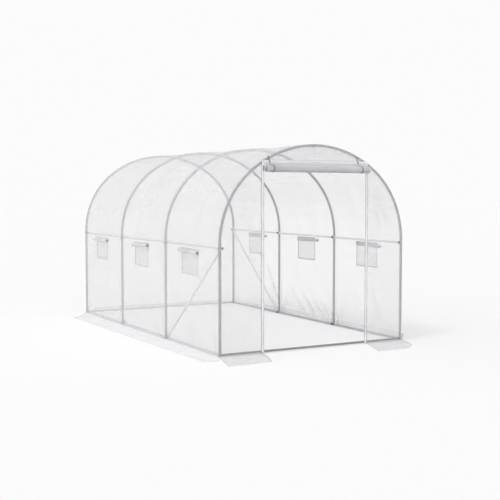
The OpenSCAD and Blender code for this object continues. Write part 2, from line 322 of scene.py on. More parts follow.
class HoopLine:
    """The centre line of a hoop, by its length from the left foot."""

    def __init__(self, crown):
        self.leg = LEG_TOP
        self.side_c = np.array([0.6 * crown, LEG_TOP])
        self.side_r = HALF_W - self.side_c[0]
        self.top_c = np.array([0.0, LEG_TOP - 0.8 * crown])
        self.top_r = self.side_r + crown
        self.turn = math.acos(0.6)
        self.side_l = self.side_r * self.turn
        self.top_l = self.top_r * (math.pi - 2 * self.turn)
        self.total = 2 * (self.leg + self.side_l) + self.top_l

    def at(self, s, offset=0.0):
        """X and Z, with the outward direction, at lengths s and an offset outwards."""
        s = np.asarray(s, float)
        t = np.minimum(s, self.total - s)
        side = t - self.leg
        top = side - self.side_l
        angle = np.where(top > 0, self.turn + top / self.top_r, np.clip(side, 0, None) / self.side_r)
        out_x, out_z = np.cos(angle), np.sin(angle)
        x = np.where(top > 0, (self.top_r + offset) * out_x, self.side_c[0] + (self.side_r + offset) * out_x)
        z = np.where(
            top > 0, self.top_c[1] + (self.top_r + offset) * out_z,
            self.side_c[1] + (self.side_r + offset) * out_z)
        z = np.where(side < 0, t, z)
        sign = np.where(s < self.total / 2, -1.0, 1.0)
        return np.stack([sign * x, z], -1), np.stack([sign * out_x, out_z], -1)

    def past(self, x, z):
        """How far points lie outside the line, less than nothing where they lie inside."""
        x = np.abs(x)
        from_side = np.hypot(x - self.side_c[0], z - self.side_c[1]) - self.side_r
        from_top = np.hypot(x, z - self.top_c[1]) - self.top_r
        on_top = (x - self.side_c[0]) * 0.8 < (z - self.side_c[1]) * 0.6
        return np.where(z < self.leg, x - HALF_W, np.where(on_top, from_top, from_side))

    def length_at(self, z, offset):
        """Length from the foot to the place where the offset line reaches a height."""
        s = np.linspace(self.leg, self.total / 2, 4000)
        return float(np.interp(z, self.at(s, offset)[0][:, 1], s))


# ---- Geometry Nodes trees ----


def group_tree(name, sockets):
    """A modifier's tree with named inputs, and its two end nodes."""
    tree = bpy.data.node_groups.new(name, "GeometryNodeTree")
    tree.is_modifier = True
    tree.interface.new_socket("Geometry", in_out="INPUT", socket_type="NodeSocketGeometry")
    for label, kind in sockets:
        tree.interface.new_socket(label, in_out="INPUT", socket_type=kind)
    tree.interface.new_socket("Geometry", in_out="OUTPUT", socket_type="NodeSocketGeometry")
    return tree, add_node(tree, "NodeGroupInput").outputs, add_node(tree, "NodeGroupOutput")


def tube_tree():
    """Runs a round tube of a given radius along each path; the points' own attribute narrows it."""
    tree, given, end = group_tree(
        "tube_along_path",
        [("Radius", "NodeSocketFloat"), ("Sides", "NodeSocketInt"), ("Finish", "NodeSocketMaterial")])
    path = add_node(tree, "GeometryNodeMeshToCurve", {"Mesh": given["Geometry"]})
    share = add_node(tree, "GeometryNodeInputNamedAttribute", None, {"Name": "narrow"}, data_type="FLOAT")
    radius = add_node(
        tree, "ShaderNodeMath", {0: share.outputs["Attribute"], 1: given["Radius"]}, operation="MULTIPLY")
    round_line = add_node(
        tree, "GeometryNodeCurvePrimitiveCircle", {"Resolution": given["Sides"]}, {"Radius": 1.0})
    tube = add_node(
        tree, "GeometryNodeCurveToMesh",
        {
            "Curve": path.outputs["Curve"], "Profile Curve": round_line.outputs["Curve"],
            "Scale": radius.outputs[0]},
        {"Fill Caps": True})
    whole = add_node(tree, "GeometryNodeRealizeInstances", {"Geometry": tube.outputs["Mesh"]})
    done = add_node(
        tree, "GeometryNodeSetMaterial", {"Geometry": whole.outputs[0], "Material": given["Finish"]})
    tree.links.new(done.outputs["Geometry"], end.inputs["Geometry"])
    return tree


def spaced_tree():
    """Sets a small piece at an even spacing along each path, its own Z along the path."""
    tree, given, end = group_tree(
        "pieces_along_path",
        [("Piece", "NodeSocketObject"), ("Spacing", "NodeSocketFloat"), ("Finish", "NodeSocketMaterial")])
    path = add_node(tree, "GeometryNodeMeshToCurve", {"Mesh": given["Geometry"]})
    steps = add_node(
        tree, "GeometryNodeResampleCurve",
        {"Curve": path.outputs["Curve"], "Length": given["Spacing"]}, mode="LENGTH")
    along = add_node(tree, "GeometryNodeInputTangent")
    facing = add_node(tree, "FunctionNodeAlignRotationToVector", {"Vector": along.outputs[0]}, axis="Z")
    small = add_node(tree, "GeometryNodeObjectInfo", {"Object": given["Piece"]})
    copies = add_node(
        tree, "GeometryNodeInstanceOnPoints",
        {
            "Points": steps.outputs["Curve"], "Instance": small.outputs["Geometry"],
            "Rotation": facing.outputs[0]})
    whole = add_node(tree, "GeometryNodeRealizeInstances", {"Geometry": copies.outputs[0]})
    done = add_node(
        tree, "GeometryNodeSetMaterial", {"Geometry": whole.outputs[0], "Material": given["Finish"]})
    tree.links.new(done.outputs["Geometry"], end.inputs["Geometry"])
    return tree


def scatter_tree():
    """Sets a small piece at each point, turned by the point's own attribute."""
    tree, given, end = group_tree(
        "pieces_on_points", [("Piece", "NodeSocketObject"), ("Finish", "NodeSocketMaterial")])
    turn = add_node(tree, "GeometryNodeInputNamedAttribute", None, {"Name": "turn"}, data_type="FLOAT_VECTOR")
    facing = add_node(tree, "FunctionNodeEulerToRotation", {"Euler": turn.outputs["Attribute"]})
    small = add_node(tree, "GeometryNodeObjectInfo", {"Object": given["Piece"]})
    copies = add_node(
        tree, "GeometryNodeInstanceOnPoints",
        {"Points": given["Geometry"], "Instance": small.outputs["Geometry"], "Rotation": facing.outputs[0]})
    whole = add_node(tree, "GeometryNodeRealizeInstances", {"Geometry": copies.outputs[0]})
    done = add_node(
        tree, "GeometryNodeSetMaterial", {"Geometry": whole.outputs[0], "Material": given["Finish"]})
    tree.links.new(done.outputs["Geometry"], end.inputs["Geometry"])
    return tree


TREES = {"tube": tube_tree, "spaced": spaced_tree, "scatter": scatter_tree}


def grown(name, paths, kind, attributes, inputs, smooth=True, sharp=40.0):
    """A plain mesh that a tree grows from paths of points; inputs are set by socket identifier."""
    points, edges = [], []
    for path in paths:
        edges += [(len(points) + k, len(points) + k + 1) for k in range(len(path) - 1)]
        points += [tuple(p) for p in path]
    seed = bpy.data.meshes.new(name)
    seed.from_pydata(points, edges, [])
    for label, kind_of, values in attributes:
        data = seed.attributes.new(label, kind_of, "POINT").data
        data.foreach_set(
            "vector" if kind_of == "FLOAT_VECTOR" else "value", np.asarray(values, np.float32).reshape(-1))
    holder = bpy.data.objects.new(name, seed)
    bpy.context.scene.collection.objects.link(holder)
    tree = TREES[kind]()
    modifier = holder.modifiers.new("shape", "NODES")
    modifier.node_group = tree
    for item in tree.interface.items_tree:
        if item.in_out == "INPUT" and item.name in inputs:
            modifier[item.identifier] = inputs[item.name]
    ready = holder.evaluated_get(bpy.context.evaluated_depsgraph_get())
    mesh = bpy.data.meshes.new_from_object(ready)
    bpy.data.objects.remove(holder)
    bpy.data.meshes.remove(seed)
    bpy.data.node_groups.remove(tree)
    if not len(mesh.polygons):
        raise RuntimeError(f"{name} came out empty")
    return placed(name, mesh, smooth, sharp)


def tubes(name, paths, narrow, radius, sides, material):
    values = [v for path in narrow for v in path]
    return grown(
        name, paths, "tube", [("narrow", "FLOAT", values)],
        {"Radius": radius, "Sides": sides, "Finish": material}, sharp=50)


def along(name, paths, small, spacing, material):
    piece = grown(name, paths, "spaced", [], {"Piece": small, "Spacing": spacing, "Finish": material})
    bpy.data.objects.remove(small)
    return piece


def on_points(name, places, turns, small, material, sharp=40.0):
    piece = grown(
        name, [[p] for p in places], "scatter", [("turn", "FLOAT_VECTOR", turns)],
        {"Piece": small, "Finish": material}, sharp=sharp)
    bpy.data.objects.remove(small)
    return piece


# ---- Small shapes that repeat ----


def turned(name, stations, segments, material, lobes=0, depth=0.0):
    """A closed turned shape along +Z from (radius, height) stations, with finger lobes if any."""
    angles = np.arange(segments) * 2 * math.pi / segments
    swell = 1 - depth * (0.5 - 0.5 * np.cos(lobes * angles)) if lobes else np.ones(segments)
    points, faces = [], []
    for radius, height, lobed in stations:
        reach = radius * (1 + (swell - 1) * lobed)
        points += list(zip(reach * np.cos(angles), reach * np.sin(angles), np.full(segments, height)))
    for row in range(len(stations) - 1):
        for k in range(segments):
            a, b = row * segments + k, row * segments + (k + 1) % segments
            faces.append((a, b, b + segments, a + segments))
    faces.append(tuple(range(segments - 1, -1, -1)))
    top = (len(stations) - 1) * segments
    faces.append(tuple(range(top, top + segments)))
    return plain_mesh(name, points, faces, material, sharp=40)


def band(name, path, across, width, thickness, material, dome=0.3):
    """A strap of webbing along a path; across is the direction of its width at every point."""
    path = np.asarray(path, float)
    across = np.asarray(across, float)
    ahead = np.gradient(path, axis=0)
    up = np.cross(ahead, across)
    up /= np.linalg.norm(up, axis=1, keepdims=True)
    shape = [(-1, 0), (-0.94, 1 - dome), (-0.5, 1), (0, 1), (0.5, 1), (0.94, 1 - dome), (1, 0),
             (0.94, dome - 1), (0.5, -1), (0, -1), (-0.5, -1), (-0.94, dome - 1)]
    n = len(shape)
    points = [
        p + a * w * width / 2 + u * t * thickness / 2 for p, a, u in zip(path, across, up) for w, t in shape]
    faces = []
    for row in range(len(path) - 1):
        for k in range(n):
            a, b = row * n + k, row * n + (k + 1) % n
            faces.append((a, a + n, b + n, b))
    faces.append(tuple(range(n)))
    last = (len(path) - 1) * n
    faces.append(tuple(range(last + n - 1, last - 1, -1)))
    return plain_mesh(name, points, faces, material, sharp=70)


def outward(piece):
    """Turns a closed shape's faces outwards."""
    shape = bmesh.new()
    shape.from_mesh(piece.data)
    bmesh.ops.remove_doubles(shape, verts=shape.verts, dist=1e-6)
    bmesh.ops.recalc_face_normals(shape, faces=shape.faces)
    shape.to_mesh(piece.data)
    shape.free()
    return piece


def joined(name, pieces):
    """One piece from several that share its body."""
    with bpy.context.temp_override(
        active_object=pieces[0], selected_editable_objects=pieces, selected_objects=pieces):
        if len(pieces) > 1:
            bpy.ops.object.join()
    pieces[0].name = name
    pieces[0].data.name = name
    return pieces[0]


def fitted(piece, slot, *nodes):
    """Rides a finished piece on the tunnel, in place of the frame's nodes."""
    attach(piece, BODY)
    if nodes:
        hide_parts(*nodes)
    return piece


# ---- Materials ----


def galvanised_steel(name, colour):
    """Galvanised steel tube: bluish grey zinc, dulled by weather, with faint 10 mm spangles and a
    cloudy bloom that makes some patches rougher than others."""
    material, tree = new_material(name)
    place = add_node(tree, "ShaderNodeTexCoord").outputs["Object"]
    spangle = add_node(tree, "ShaderNodeTexVoronoi", {"Vector": place}, {"Scale": 95.0})
    grain = add_node(tree, "ShaderNodeSeparateColor", {"Color": spangle.outputs["Color"]})
    bloom = mottled(tree, place, 9.0, 0.0, 1.0)
    blend = add_node(tree, "ShaderNodeMath", {0: grain.outputs["Red"], 1: bloom}, operation="MULTIPLY")
    surface = add_node(
        tree, "ShaderNodeBsdfPrincipled",
        {"Base Color": add_node(
            tree, "ShaderNodeMix", {0: blend.outputs[0]},
            {6: (*scaled(colour, 0.86), 1), 7: (*scaled(colour, 1.08), 1)}, data_type="RGBA").outputs[2],
         "Roughness": mottled(tree, place, 26.0, 0.34, 0.52),
         "Normal": add_node(
             tree, "ShaderNodeBump", {"Height": mottled(tree, place, 320.0, 0.0, 1.0)},
             {"Strength": 0.12, "Distance": 0.0003}).outputs["Normal"]},
        {"Metallic": 0.2})
    finish_material(tree, surface.outputs["BSDF"])
    return material


def moulded_nylon(name, colour):
    """Injection-moulded nylon: satin, with the fine grain of a spark-eroded mould."""
    material, tree = new_material(name)
    place = add_node(tree, "ShaderNodeTexCoord").outputs["Object"]
    surface = add_node(
        tree, "ShaderNodeBsdfPrincipled",
        {"Base Color": add_node(
            tree, "ShaderNodeMix", {0: mottled(tree, place, 40.0, 0.0, 1.0)},
            {6: (*scaled(colour, 0.8), 1), 7: (*scaled(colour, 1.3), 1)}, data_type="RGBA").outputs[2],
         "Roughness": mottled(tree, place, 60.0, 0.42, 0.58),
         "Normal": add_node(
             tree, "ShaderNodeBump", {"Height": mottled(tree, place, 900.0, 0.0, 1.0)},
             {"Strength": 0.25, "Distance": 0.0002}).outputs["Normal"]},
        {"IOR": 1.5})
    finish_material(tree, surface.outputs["BSDF"])
    return material


def polyethylene_film(name, colour, stops, fold_stops=0.3, rough=(0.58, 0.72), crinkle=0.06):
    """Blown polyethylene film: clear but milky, so each skin stops a little light, shows half of it
    as a cool white and lets the rest glow through. A slanting look goes through more of it. Where
    the fold attribute is high the film stops more and looks greyer: at hems that is real layers over
    one another, at creases and on the undersides of rolls it is painted shade. The gloss wanders
    with the stretch."""
    material, tree = new_material(name)
    place = add_node(tree, "ShaderNodeTexCoord").outputs["Object"]
    cloud = mottled(tree, place, 1.7, 0.92, 1.08, 4.0)
    streak = mottled(tree, place, 9.0, 0.98, 1.02, 2.0)
    patchy = add_node(tree, "ShaderNodeMath", {0: cloud, 1: streak}, operation="MULTIPLY")
    body = add_node(tree, "ShaderNodeMath", {0: patchy.outputs[0]}, {1: stops}, operation="MULTIPLY")
    edge_on = add_node(tree, "ShaderNodeLayerWeight", None, {"Blend": 0.5})
    steep = add_node(tree, "ShaderNodeMath", {0: edge_on.outputs["Facing"]}, {1: 3.0}, operation="POWER")
    slant = add_node(
        tree, "ShaderNodeMath", {0: steep.outputs[0], 2: body.outputs[0]}, {1: 0.4}, operation="MULTIPLY_ADD")
    fold = add_node(tree, "ShaderNodeAttribute", attribute_name="fold")
    creased = add_node(
        tree, "ShaderNodeMath", {0: fold.outputs["Fac"], 2: slant.outputs[0]}, {1: fold_stops},
        operation="MULTIPLY_ADD", use_clamp=True)
    whole = add_node(
        tree, "ShaderNodeMix", {0: mottled(tree, place, 3.1, 0.0, 1.0)},
        {6: (*scaled(colour, 0.95), 1), 7: (*colour, 1)}, data_type="RGBA").outputs[2]
    # Greyer where the fold attribute is high: real doubled layers at hems, painted shade at creases and on roll
    # undersides, and a greyer roof
    layers_and_shade_tint = add_node(
        tree, "ShaderNodeMix", {0: fold.outputs["Fac"], 6: whole}, {7: (*scaled(colour, 0.62), 1)}, data_type="RGBA")
    normal = add_node(
        tree, "ShaderNodeBump", {"Height": mottled(tree, place, 22.0, 0.0, 1.0, 3.0)},
        {"Strength": crinkle, "Distance": 0.0016}).outputs["Normal"]
    sheen = add_node(
        tree, "ShaderNodeBsdfPrincipled",
        {"Base Color": layers_and_shade_tint.outputs[2], "Roughness": mottled(tree, place, 6.0, *rough), "Normal": normal},
        {"IOR": 1.51})
    glow = add_node(tree, "ShaderNodeBsdfTranslucent", {"Color": layers_and_shade_tint.outputs[2], "Normal": normal})
    milk = add_node(
        tree, "ShaderNodeMixShader", {1: sheen.outputs["BSDF"], 2: glow.outputs["BSDF"]}, {0: 0.55})
    clear = add_node(tree, "ShaderNodeBsdfTransparent")
    skin = add_node(
        tree, "ShaderNodeMixShader",
        {0: creased.outputs[0], 1: clear.outputs["BSDF"], 2: milk.outputs["Shader"]})
    finish_material(tree, skin.outputs["Shader"])
    return material


# A wave texture of scale 1 has bands 0.314 m apart
BANDS = 2 * math.pi / 20


def woven_polyester(name, colour, thread=0.0024):
    """Woven polyester tape: matt threads over and under. They are drawn at 2.4 mm where the real
    ones are 0.6 mm, so that the weave still shows."""
    material, tree = new_material(name)
    place = add_node(tree, "ShaderNodeTexCoord").outputs["Object"]
    x, y, z = [
        add_node(tree, "ShaderNodeTexWave", {"Vector": place}, {"Scale": BANDS / thread, "Distortion": 0.3},
                 bands_direction=axis).outputs["Fac"]
        for axis in ("X", "Y", "Z")]
    crossing = add_node(tree, "ShaderNodeMath", {0: x, 1: z}, operation="MULTIPLY")
    weave = add_node(
        tree, "ShaderNodeMath", {0: y, 2: crossing.outputs[0]}, {1: 0.5}, operation="MULTIPLY_ADD")
    surface = add_node(
        tree, "ShaderNodeBsdfPrincipled",
        {"Base Color": add_node(
            tree, "ShaderNodeMix", {0: weave.outputs[0]},
            {6: (*scaled(colour, 0.9), 1), 7: (*scaled(colour, 1.06), 1)}, data_type="RGBA").outputs[2],
         "Normal": add_node(
             tree, "ShaderNodeBump", {"Height": weave.outputs[0]},
             {"Strength": 0.4, "Distance": 0.0005}).outputs["Normal"],
         "Roughness": mottled(tree, place, 70.0, 0.72, 0.9)},
        {"IOR": 1.5, "Sheen Weight": 0.25})
    finish_material(tree, surface.outputs["BSDF"])
    return material


def insect_mesh(name, colour):
    """Woven polyethylene insect mesh: pale threads with open squares between them, drawn 3 mm
    apart where the real ones are about 1 mm apart."""
    material, tree = new_material(name)
    place = add_node(tree, "ShaderNodeTexCoord").outputs["Object"]
    y, z = [
        add_node(
            tree, "ShaderNodeTexWave", {"Vector": place}, {"Scale": BANDS / 0.003},
            bands_direction=axis).outputs["Fac"]
        for axis in ("Y", "Z")]
    thread = add_node(tree, "ShaderNodeMath", {0: y, 1: z}, operation="MAXIMUM")
    solid = add_node(
        tree, "ShaderNodeMapRange", {"Value": thread.outputs[0]},
        {"From Min": 0.62, "From Max": 0.8, "To Min": 0.08, "To Max": 0.4})
    surface = add_node(
        tree, "ShaderNodeBsdfPrincipled",
        {"Base Color": add_node(
            tree, "ShaderNodeMix", {0: mottled(tree, place, 30.0, 0.0, 1.0)},
            {6: (*scaled(colour, 0.85), 1), 7: (*colour, 1)}, data_type="RGBA").outputs[2],
         "Roughness": mottled(tree, place, 45.0, 0.5, 0.7),
         "Alpha": solid.outputs["Result"]},
        {"IOR": 1.5})
    finish_material(tree, surface.outputs["BSDF"])
    return material


MATERIALS = {}


def material_for(key):
    """Each finish is made once, from the settings in force when it is first asked for."""
    if key in MATERIALS:
        return MATERIALS[key]
    scene = bpy.context.scene
    film, steel, tape = scene.tunnel_film, scene.tunnel_tubes, scene.tunnel_door.tape_colour
    milky = list(film.colour)
    makers = {
        "tube": lambda: galvanised_steel("galvanised_steel_tube", list(steel.colour)),
        # A darker copy of the galvanised steel: painted shade for the front base rail on the ground
        "painted_shade_rail": lambda: galvanised_steel("galvanised_rail_painted_shade", hex_colour("#8f9194")),
        # A lighter copy of the galvanised steel: painted light for the lit rails and braces
        "rail": lambda: galvanised_steel("galvanised_rail_painted_light", hex_colour("#dddfe1")),
        "bolt": lambda: galvanised_steel("zinc_plated_bolt", hex_colour("#7b7d80")),
        "knob": lambda: moulded_nylon("moulded_nylon_knob", hex_colour("#2d2e31")),
        "tooth": lambda: moulded_nylon("nylon_zip_coil", hex_colour("#c6c8cb")),
        "thread": lambda: moulded_nylon("polyester_sewing_thread", hex_colour("#c9cacc")),
        "film": lambda: polyethylene_film("polyethylene_film", milky, film.cover),
        "front": lambda: polyethylene_film("polyethylene_end_film", milky, film.cover * 1.1),
        "gable": lambda: polyethylene_film(
            "doubled_polyethylene_film", scaled(milky, 0.95), film.cover * 2.05),
        "roll": lambda: polyethylene_film("rolled_polyethylene_film", hex_colour("#fbfbfc"), 0.7, 0.2),
        "flap": lambda: polyethylene_film("rolled_flap_film", hex_colour("#fdfdfd"), 0.34, 0.05),
        # Grey binding tape at the flap ends; its grey is painted shade for the dark open ends of the rolls
        "edge": lambda: woven_polyester("flap_end_tape_painted_shade", hex_colour("#c6c8cb")),
        "skirt": lambda: polyethylene_film("skirt_polyethylene_film", scaled(milky, 1.04), film.cover, 0.2),
        # The front skirts take a darker, more opaque copy of the skirt film: painted shade
        "front skirt": lambda: polyethylene_film(
            "skirt_film_painted_shade", scaled(milky, 0.94), film.cover * 1.4, 0.2),
        "tape": lambda: woven_polyester("woven_polyester_tape", list(tape)),
        "tie": lambda: woven_polyester("woven_tie_webbing", hex_colour("#7c7e83")),
        "cord": lambda: woven_polyester("braided_piping_cord", hex_colour("#85878c"), 0.0016),
        "piping": lambda: woven_polyester("woven_window_piping", hex_colour("#b4b6ba")),
        "binding": lambda: woven_polyester("woven_window_binding", hex_colour("#dddfe2")),
        "mesh": lambda: insect_mesh("woven_insect_mesh", hex_colour("#d0d1d3")),
    }
    MATERIALS[key] = makers[key]()
    return MATERIALS[key]


# ---- Operators ----


class TUNNEL_OT_stage(bpy.types.Operator):
    """White floor and background, soft light from the left, and the camera"""

    bl_idname = "tunnel.stage"
    bl_label = "Stage"

    def execute(self, context):
        scene = context.scene
        stage = scene.tunnel_stage
        height = math.radians(56)
        overhead, from_left, from_front = 0.3, 0.72, 0.25
        level = stage.sky * (1 + overhead * 2 / 3) + stage.sun * math.sin(height) / math.pi
        material, tree = new_material("matt_white_floor")
        paint = [c / level for c in stage.backdrop]
        mottle = mottled(tree, add_node(tree, "ShaderNodeTexCoord").outputs["Object"], 2.0, 0.0, 1.0)
        surface = add_node(
            tree, "ShaderNodeBsdfDiffuse", {"Color": add_node(
                tree, "ShaderNodeMix", {0: mottle}, {6: (*scaled(paint, 0.998), 1), 7: (*paint, 1)},
                data_type="RGBA").outputs[2]})
        finish_material(tree, surface.outputs["BSDF"])
        size = 60.0
        corners = [(-size, -size, 0), (size, -size, 0), (size, size, 0), (-size, size, 0)]
        plain_mesh("floor", corners, [(0, 1, 2, 3)], material, smooth=False)

        world = bpy.data.worlds.new("studio")
        world.use_nodes = True
        scene.world = world
        tree = world.node_tree
        tree.nodes.clear()
        direction = add_node(tree, "ShaderNodeTexCoord")
        parts = add_node(tree, "ShaderNodeSeparateXYZ", {"Vector": direction.outputs["Generated"]})
        side = add_node(
            tree, "ShaderNodeMath", {0: parts.outputs["X"]}, {1: -from_left * stage.sky, 2: stage.sky},
            operation="MULTIPLY_ADD")
        ahead = add_node(
            tree, "ShaderNodeMath", {0: parts.outputs["Y"], 2: side.outputs[0]}, {1: -from_front * stage.sky},
            operation="MULTIPLY_ADD")
        above = add_node(
            tree, "ShaderNodeMath", {0: parts.outputs["Z"], 2: ahead.outputs[0]}, {1: overhead * stage.sky},
            operation="MULTIPLY_ADD")
        fill = add_node(tree, "ShaderNodeBackground", {"Strength": above.outputs[0]}, {"Color": (1, 1, 1, 1)})
        white = add_node(tree, "ShaderNodeBackground", None, {"Color": (*stage.backdrop, 1)})
        ray = add_node(tree, "ShaderNodeLightPath").outputs
        through = add_node(
            tree, "ShaderNodeMath", {
                0: ray["Is Camera Ray"], 1: ray["Is Transmission Ray"]}, operation="MAXIMUM")
        seen = add_node(
            tree, "ShaderNodeMath", {0: through.outputs[0], 1: ray["Is Glossy Ray"]}, operation="MAXIMUM")
        both = add_node(
            tree, "ShaderNodeMixShader", {0: seen.outputs[0], 1: fill.outputs[0], 2: white.outputs[0]})
        add_node(tree, "ShaderNodeOutputWorld", {"Surface": both.outputs[0]})

        lamp = bpy.data.lights.new("key", "SUN")
        lamp.energy = stage.sun
        lamp.angle = math.radians(18)
        lamp.cycles.use_multiple_importance_sampling = False
        key = bpy.data.objects.new("key", lamp)
        drift = math.radians(14)
        travel = Vector((
            math.cos(height) * math.cos(drift), math.cos(height) * math.sin(drift), -math.sin(height)))
        key.rotation_euler = travel.to_track_quat("-Z", "Y").to_euler()
        scene.collection.objects.link(key)

        eye = bpy.data.cameras.new("camera")
        eye.lens = 68.8
        eye.clip_end = 200
        camera = bpy.data.objects.new("camera", eye)
        camera.location = (-4.84, -9.23, 1.49)
        camera.rotation_euler = (math.radians(90 - 3.66), 0, math.radians(-29.0))
        scene.collection.objects.link(camera)
        scene.camera = camera
        scene.view_settings.view_transform = "Standard"
        scene.cycles.transparent_max_bounces = 48
        return {"FINISHED"}


class TUNNEL_OT_hoops(bpy.types.Operator):
    """Legs and arch halves of bent steel tube"""

    bl_idname = "tunnel.hoops"
    bl_label = "Hoops"

    def execute(self, context):
        tube = context.scene.tunnel_tubes
        line = HoopLine(tube.crown)
        joint = line.leg - tube.joint_drop
        steel = material_for("tube")
        rim = 0.0006
        for side, sign in SIDES.items():
            for i, y in enumerate(HOOP_Y, start=1):
                heights = [0.0, rim, 0.3, 0.6, joint - rim, joint]
                path = [(sign * HALF_W, y, z) for z in heights]
                narrow = [0.95, 1, 1, 1, 1, 0.95]
                leg = tubes(f"steel_leg_{side}_{i}", [path], [narrow], TUBE_R, tube.sides, steel)
                fitted(leg, "steel_tube", f"leg_{side}_{i}")
                lengths = np.concatenate([
                    [joint + 0.0003, joint + 0.0003 + rim], np.linspace(line.leg, line.total / 2 - 0.002, 90),
                    [line.total / 2 - rim, line.total / 2 - 0.0001]])
                place, _ = line.at(lengths)
                path = [(-sign * x, y, z) for x, z in place]
                narrow = [0.95, 1] + [1] * 90 + [1, 0.95]
                arch = tubes(f"steel_arch_{side}_{i}", [path], [narrow], TUBE_R, tube.sides, steel)
                fitted(arch, "steel_tube", f"arch_{side}_{i}")
        return {"FINISHED"}


FLAT_T = 0.002
SEAT_GAP = 0.0003
LAYER_T = FLAT_T + SEAT_GAP
FIRST_LAYER_X = HALF_W - TUBE_R - SEAT_GAP - FLAT_T / 2
FLAT_HALF_H = TUBE_R - 0.0005


def layer_x(layer):
    return FIRST_LAYER_X - (layer - 1) * LAYER_T


def pressed_tube(start, end, face, flat_l, segments=28):
    """Points and faces of a tube from bolt to bolt whose ends are pressed flat and rounded off.
    face is the direction that the flats look in."""
    start, end, face = Vector(start), Vector(end), Vector(face)
    ahead = (end - start).normalized()
    up = face.cross(ahead)
    span = (end - start).length
    tip = [(-FLAT_HALF_H * math.cos(a), FLAT_HALF_H * math.sin(a)) for a in np.linspace(0.04, math.pi / 2, 8)]
    press = [(d, None) for d in np.linspace(flat_l * 0.55, flat_l * 1.45, 12)]
    stations = []
    for d, half in tip + press:
        if half is None:
            t = ease(d, flat_l * 0.55, flat_l * 1.45)
            stations.append((
                d, FLAT_HALF_H * (1 - t) + RAIL_R * t, FLAT_T / 2 * (1 - t) + RAIL_R * t, 5.0 - 3.0 * t))
        else:
            stations.append((d, half, FLAT_T / 2, 5.0))
    every = stations + [(span / 2, RAIL_R, RAIL_R, 2.0)] + [
        (span - d, h, t, e) for d, h, t, e in reversed(stations)]
    angles = np.arange(segments) * 2 * math.pi / segments
    points, faces = [], []
    for d, half_h, half_t, power in every:
        c, s = np.cos(angles), np.sin(angles)
        across = np.sign(c) * np.abs(c) ** (2 / power) * half_t
        rise = np.sign(s) * np.abs(s) ** (2 / power) * half_h
        points += [start + ahead * d + face * float(a) + up * float(r) for a, r in zip(across, rise)]
    for row in range(len(every) - 1):
        for k in range(segments):
            a, b = row * segments + k, row * segments + (k + 1) % segments
            faces.append((a, b, b + segments, a + segments))
    faces.append(tuple(range(segments - 1, -1, -1)))
    last = (len(every) - 1) * segments
    faces.append(tuple(range(last, last + segments)))
    return points, faces


def pressed_tubes(name, runs, flat_l, material):
    points, faces = [], []
    for start, end, face in runs:
        p, f = pressed_tube(start, end, face, flat_l)
        faces += [tuple(k + len(points) for k in one) for one in f]
        points += p
    return outward(plain_mesh(name, points, faces, material, sharp=60))


class TUNNEL_OT_rails(bpy.types.Operator):
    """Base rails, shoulder rails and the two diagonal braces, their ends pressed flat"""

    bl_idname = "tunnel.rails"
    bl_label = "Rails and braces"

    def execute(self, context):
        tube = context.scene.tunnel_tubes
        # Shoulder rails, braces, the left and back base rails take the lighter copy, the right base rail the darker
        # tube steel: painted light and shade
        steel, lit_steel = material_for("tube"), material_for("rail")
        for side, sign in SIDES.items():
            for kind, z in (("base_rail", BASE_RAIL_Z), ("shoulder_rail", SHOULDER_RAIL_Z)):
                runs = []
                for bay in range(BAYS):
                    x = sign * layer_x(2 if bay == 1 else 1)
                    runs.append(((x, HOOP_Y[bay], z), (x, HOOP_Y[bay + 1], z), (1, 0, 0)))
                rail = pressed_tubes(f"steel_{kind}_{side}", runs, tube.flat_l,
                                     steel if (kind, side) == ("base_rail", "right") else lit_steel)
                fitted(rail, "steel_tube", f"{kind}_{side}")
        x = layer_x(3)
        for name, sign, high, low in (("brace_front", -1, 0, 1), ("brace_back", 1, 3, 2)):
            run = ((sign * x, HOOP_Y[high], SHOULDER_RAIL_Z), (sign * x, HOOP_Y[low], BASE_RAIL_Z), (1, 0, 0))
            fitted(pressed_tubes(f"steel_{name}", [run], tube.flat_l * 1.2, lit_steel), "steel_tube", name)
        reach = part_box("base_rail_front")[1].x
        for name, y in (("base_rail_front", HOOP_Y[0]), ("base_rail_back", HOOP_Y[-1])):
            xs = [-reach, -reach + 0.0008, 0, reach - 0.0008, reach]
            # The front base rail takes the darker copy of the steel, which is painted shade
            rail = tubes(
                f"steel_{name}", [[(x, y, BASE_RAIL_Z) for x in xs]], [[0.94, 1, 1, 1, 0.94]], RAIL_R, tube.sides,
                material_for("painted_shade_rail") if name == "base_rail_front" else lit_steel)
            fitted(rail, "steel_tube", name)
        return {"FINISHED"}


def layers_at(side, hoop, shoulder):
    """How many pressed ends one bolt holds, counted in layers from the leg."""
    if (side == "left" and hoop == (0 if shoulder else 1)) or (
        side == "right" and hoop == (3 if shoulder else 2)):
        return 3
    return 1 if hoop in (0, HOOPS - 1) else 2


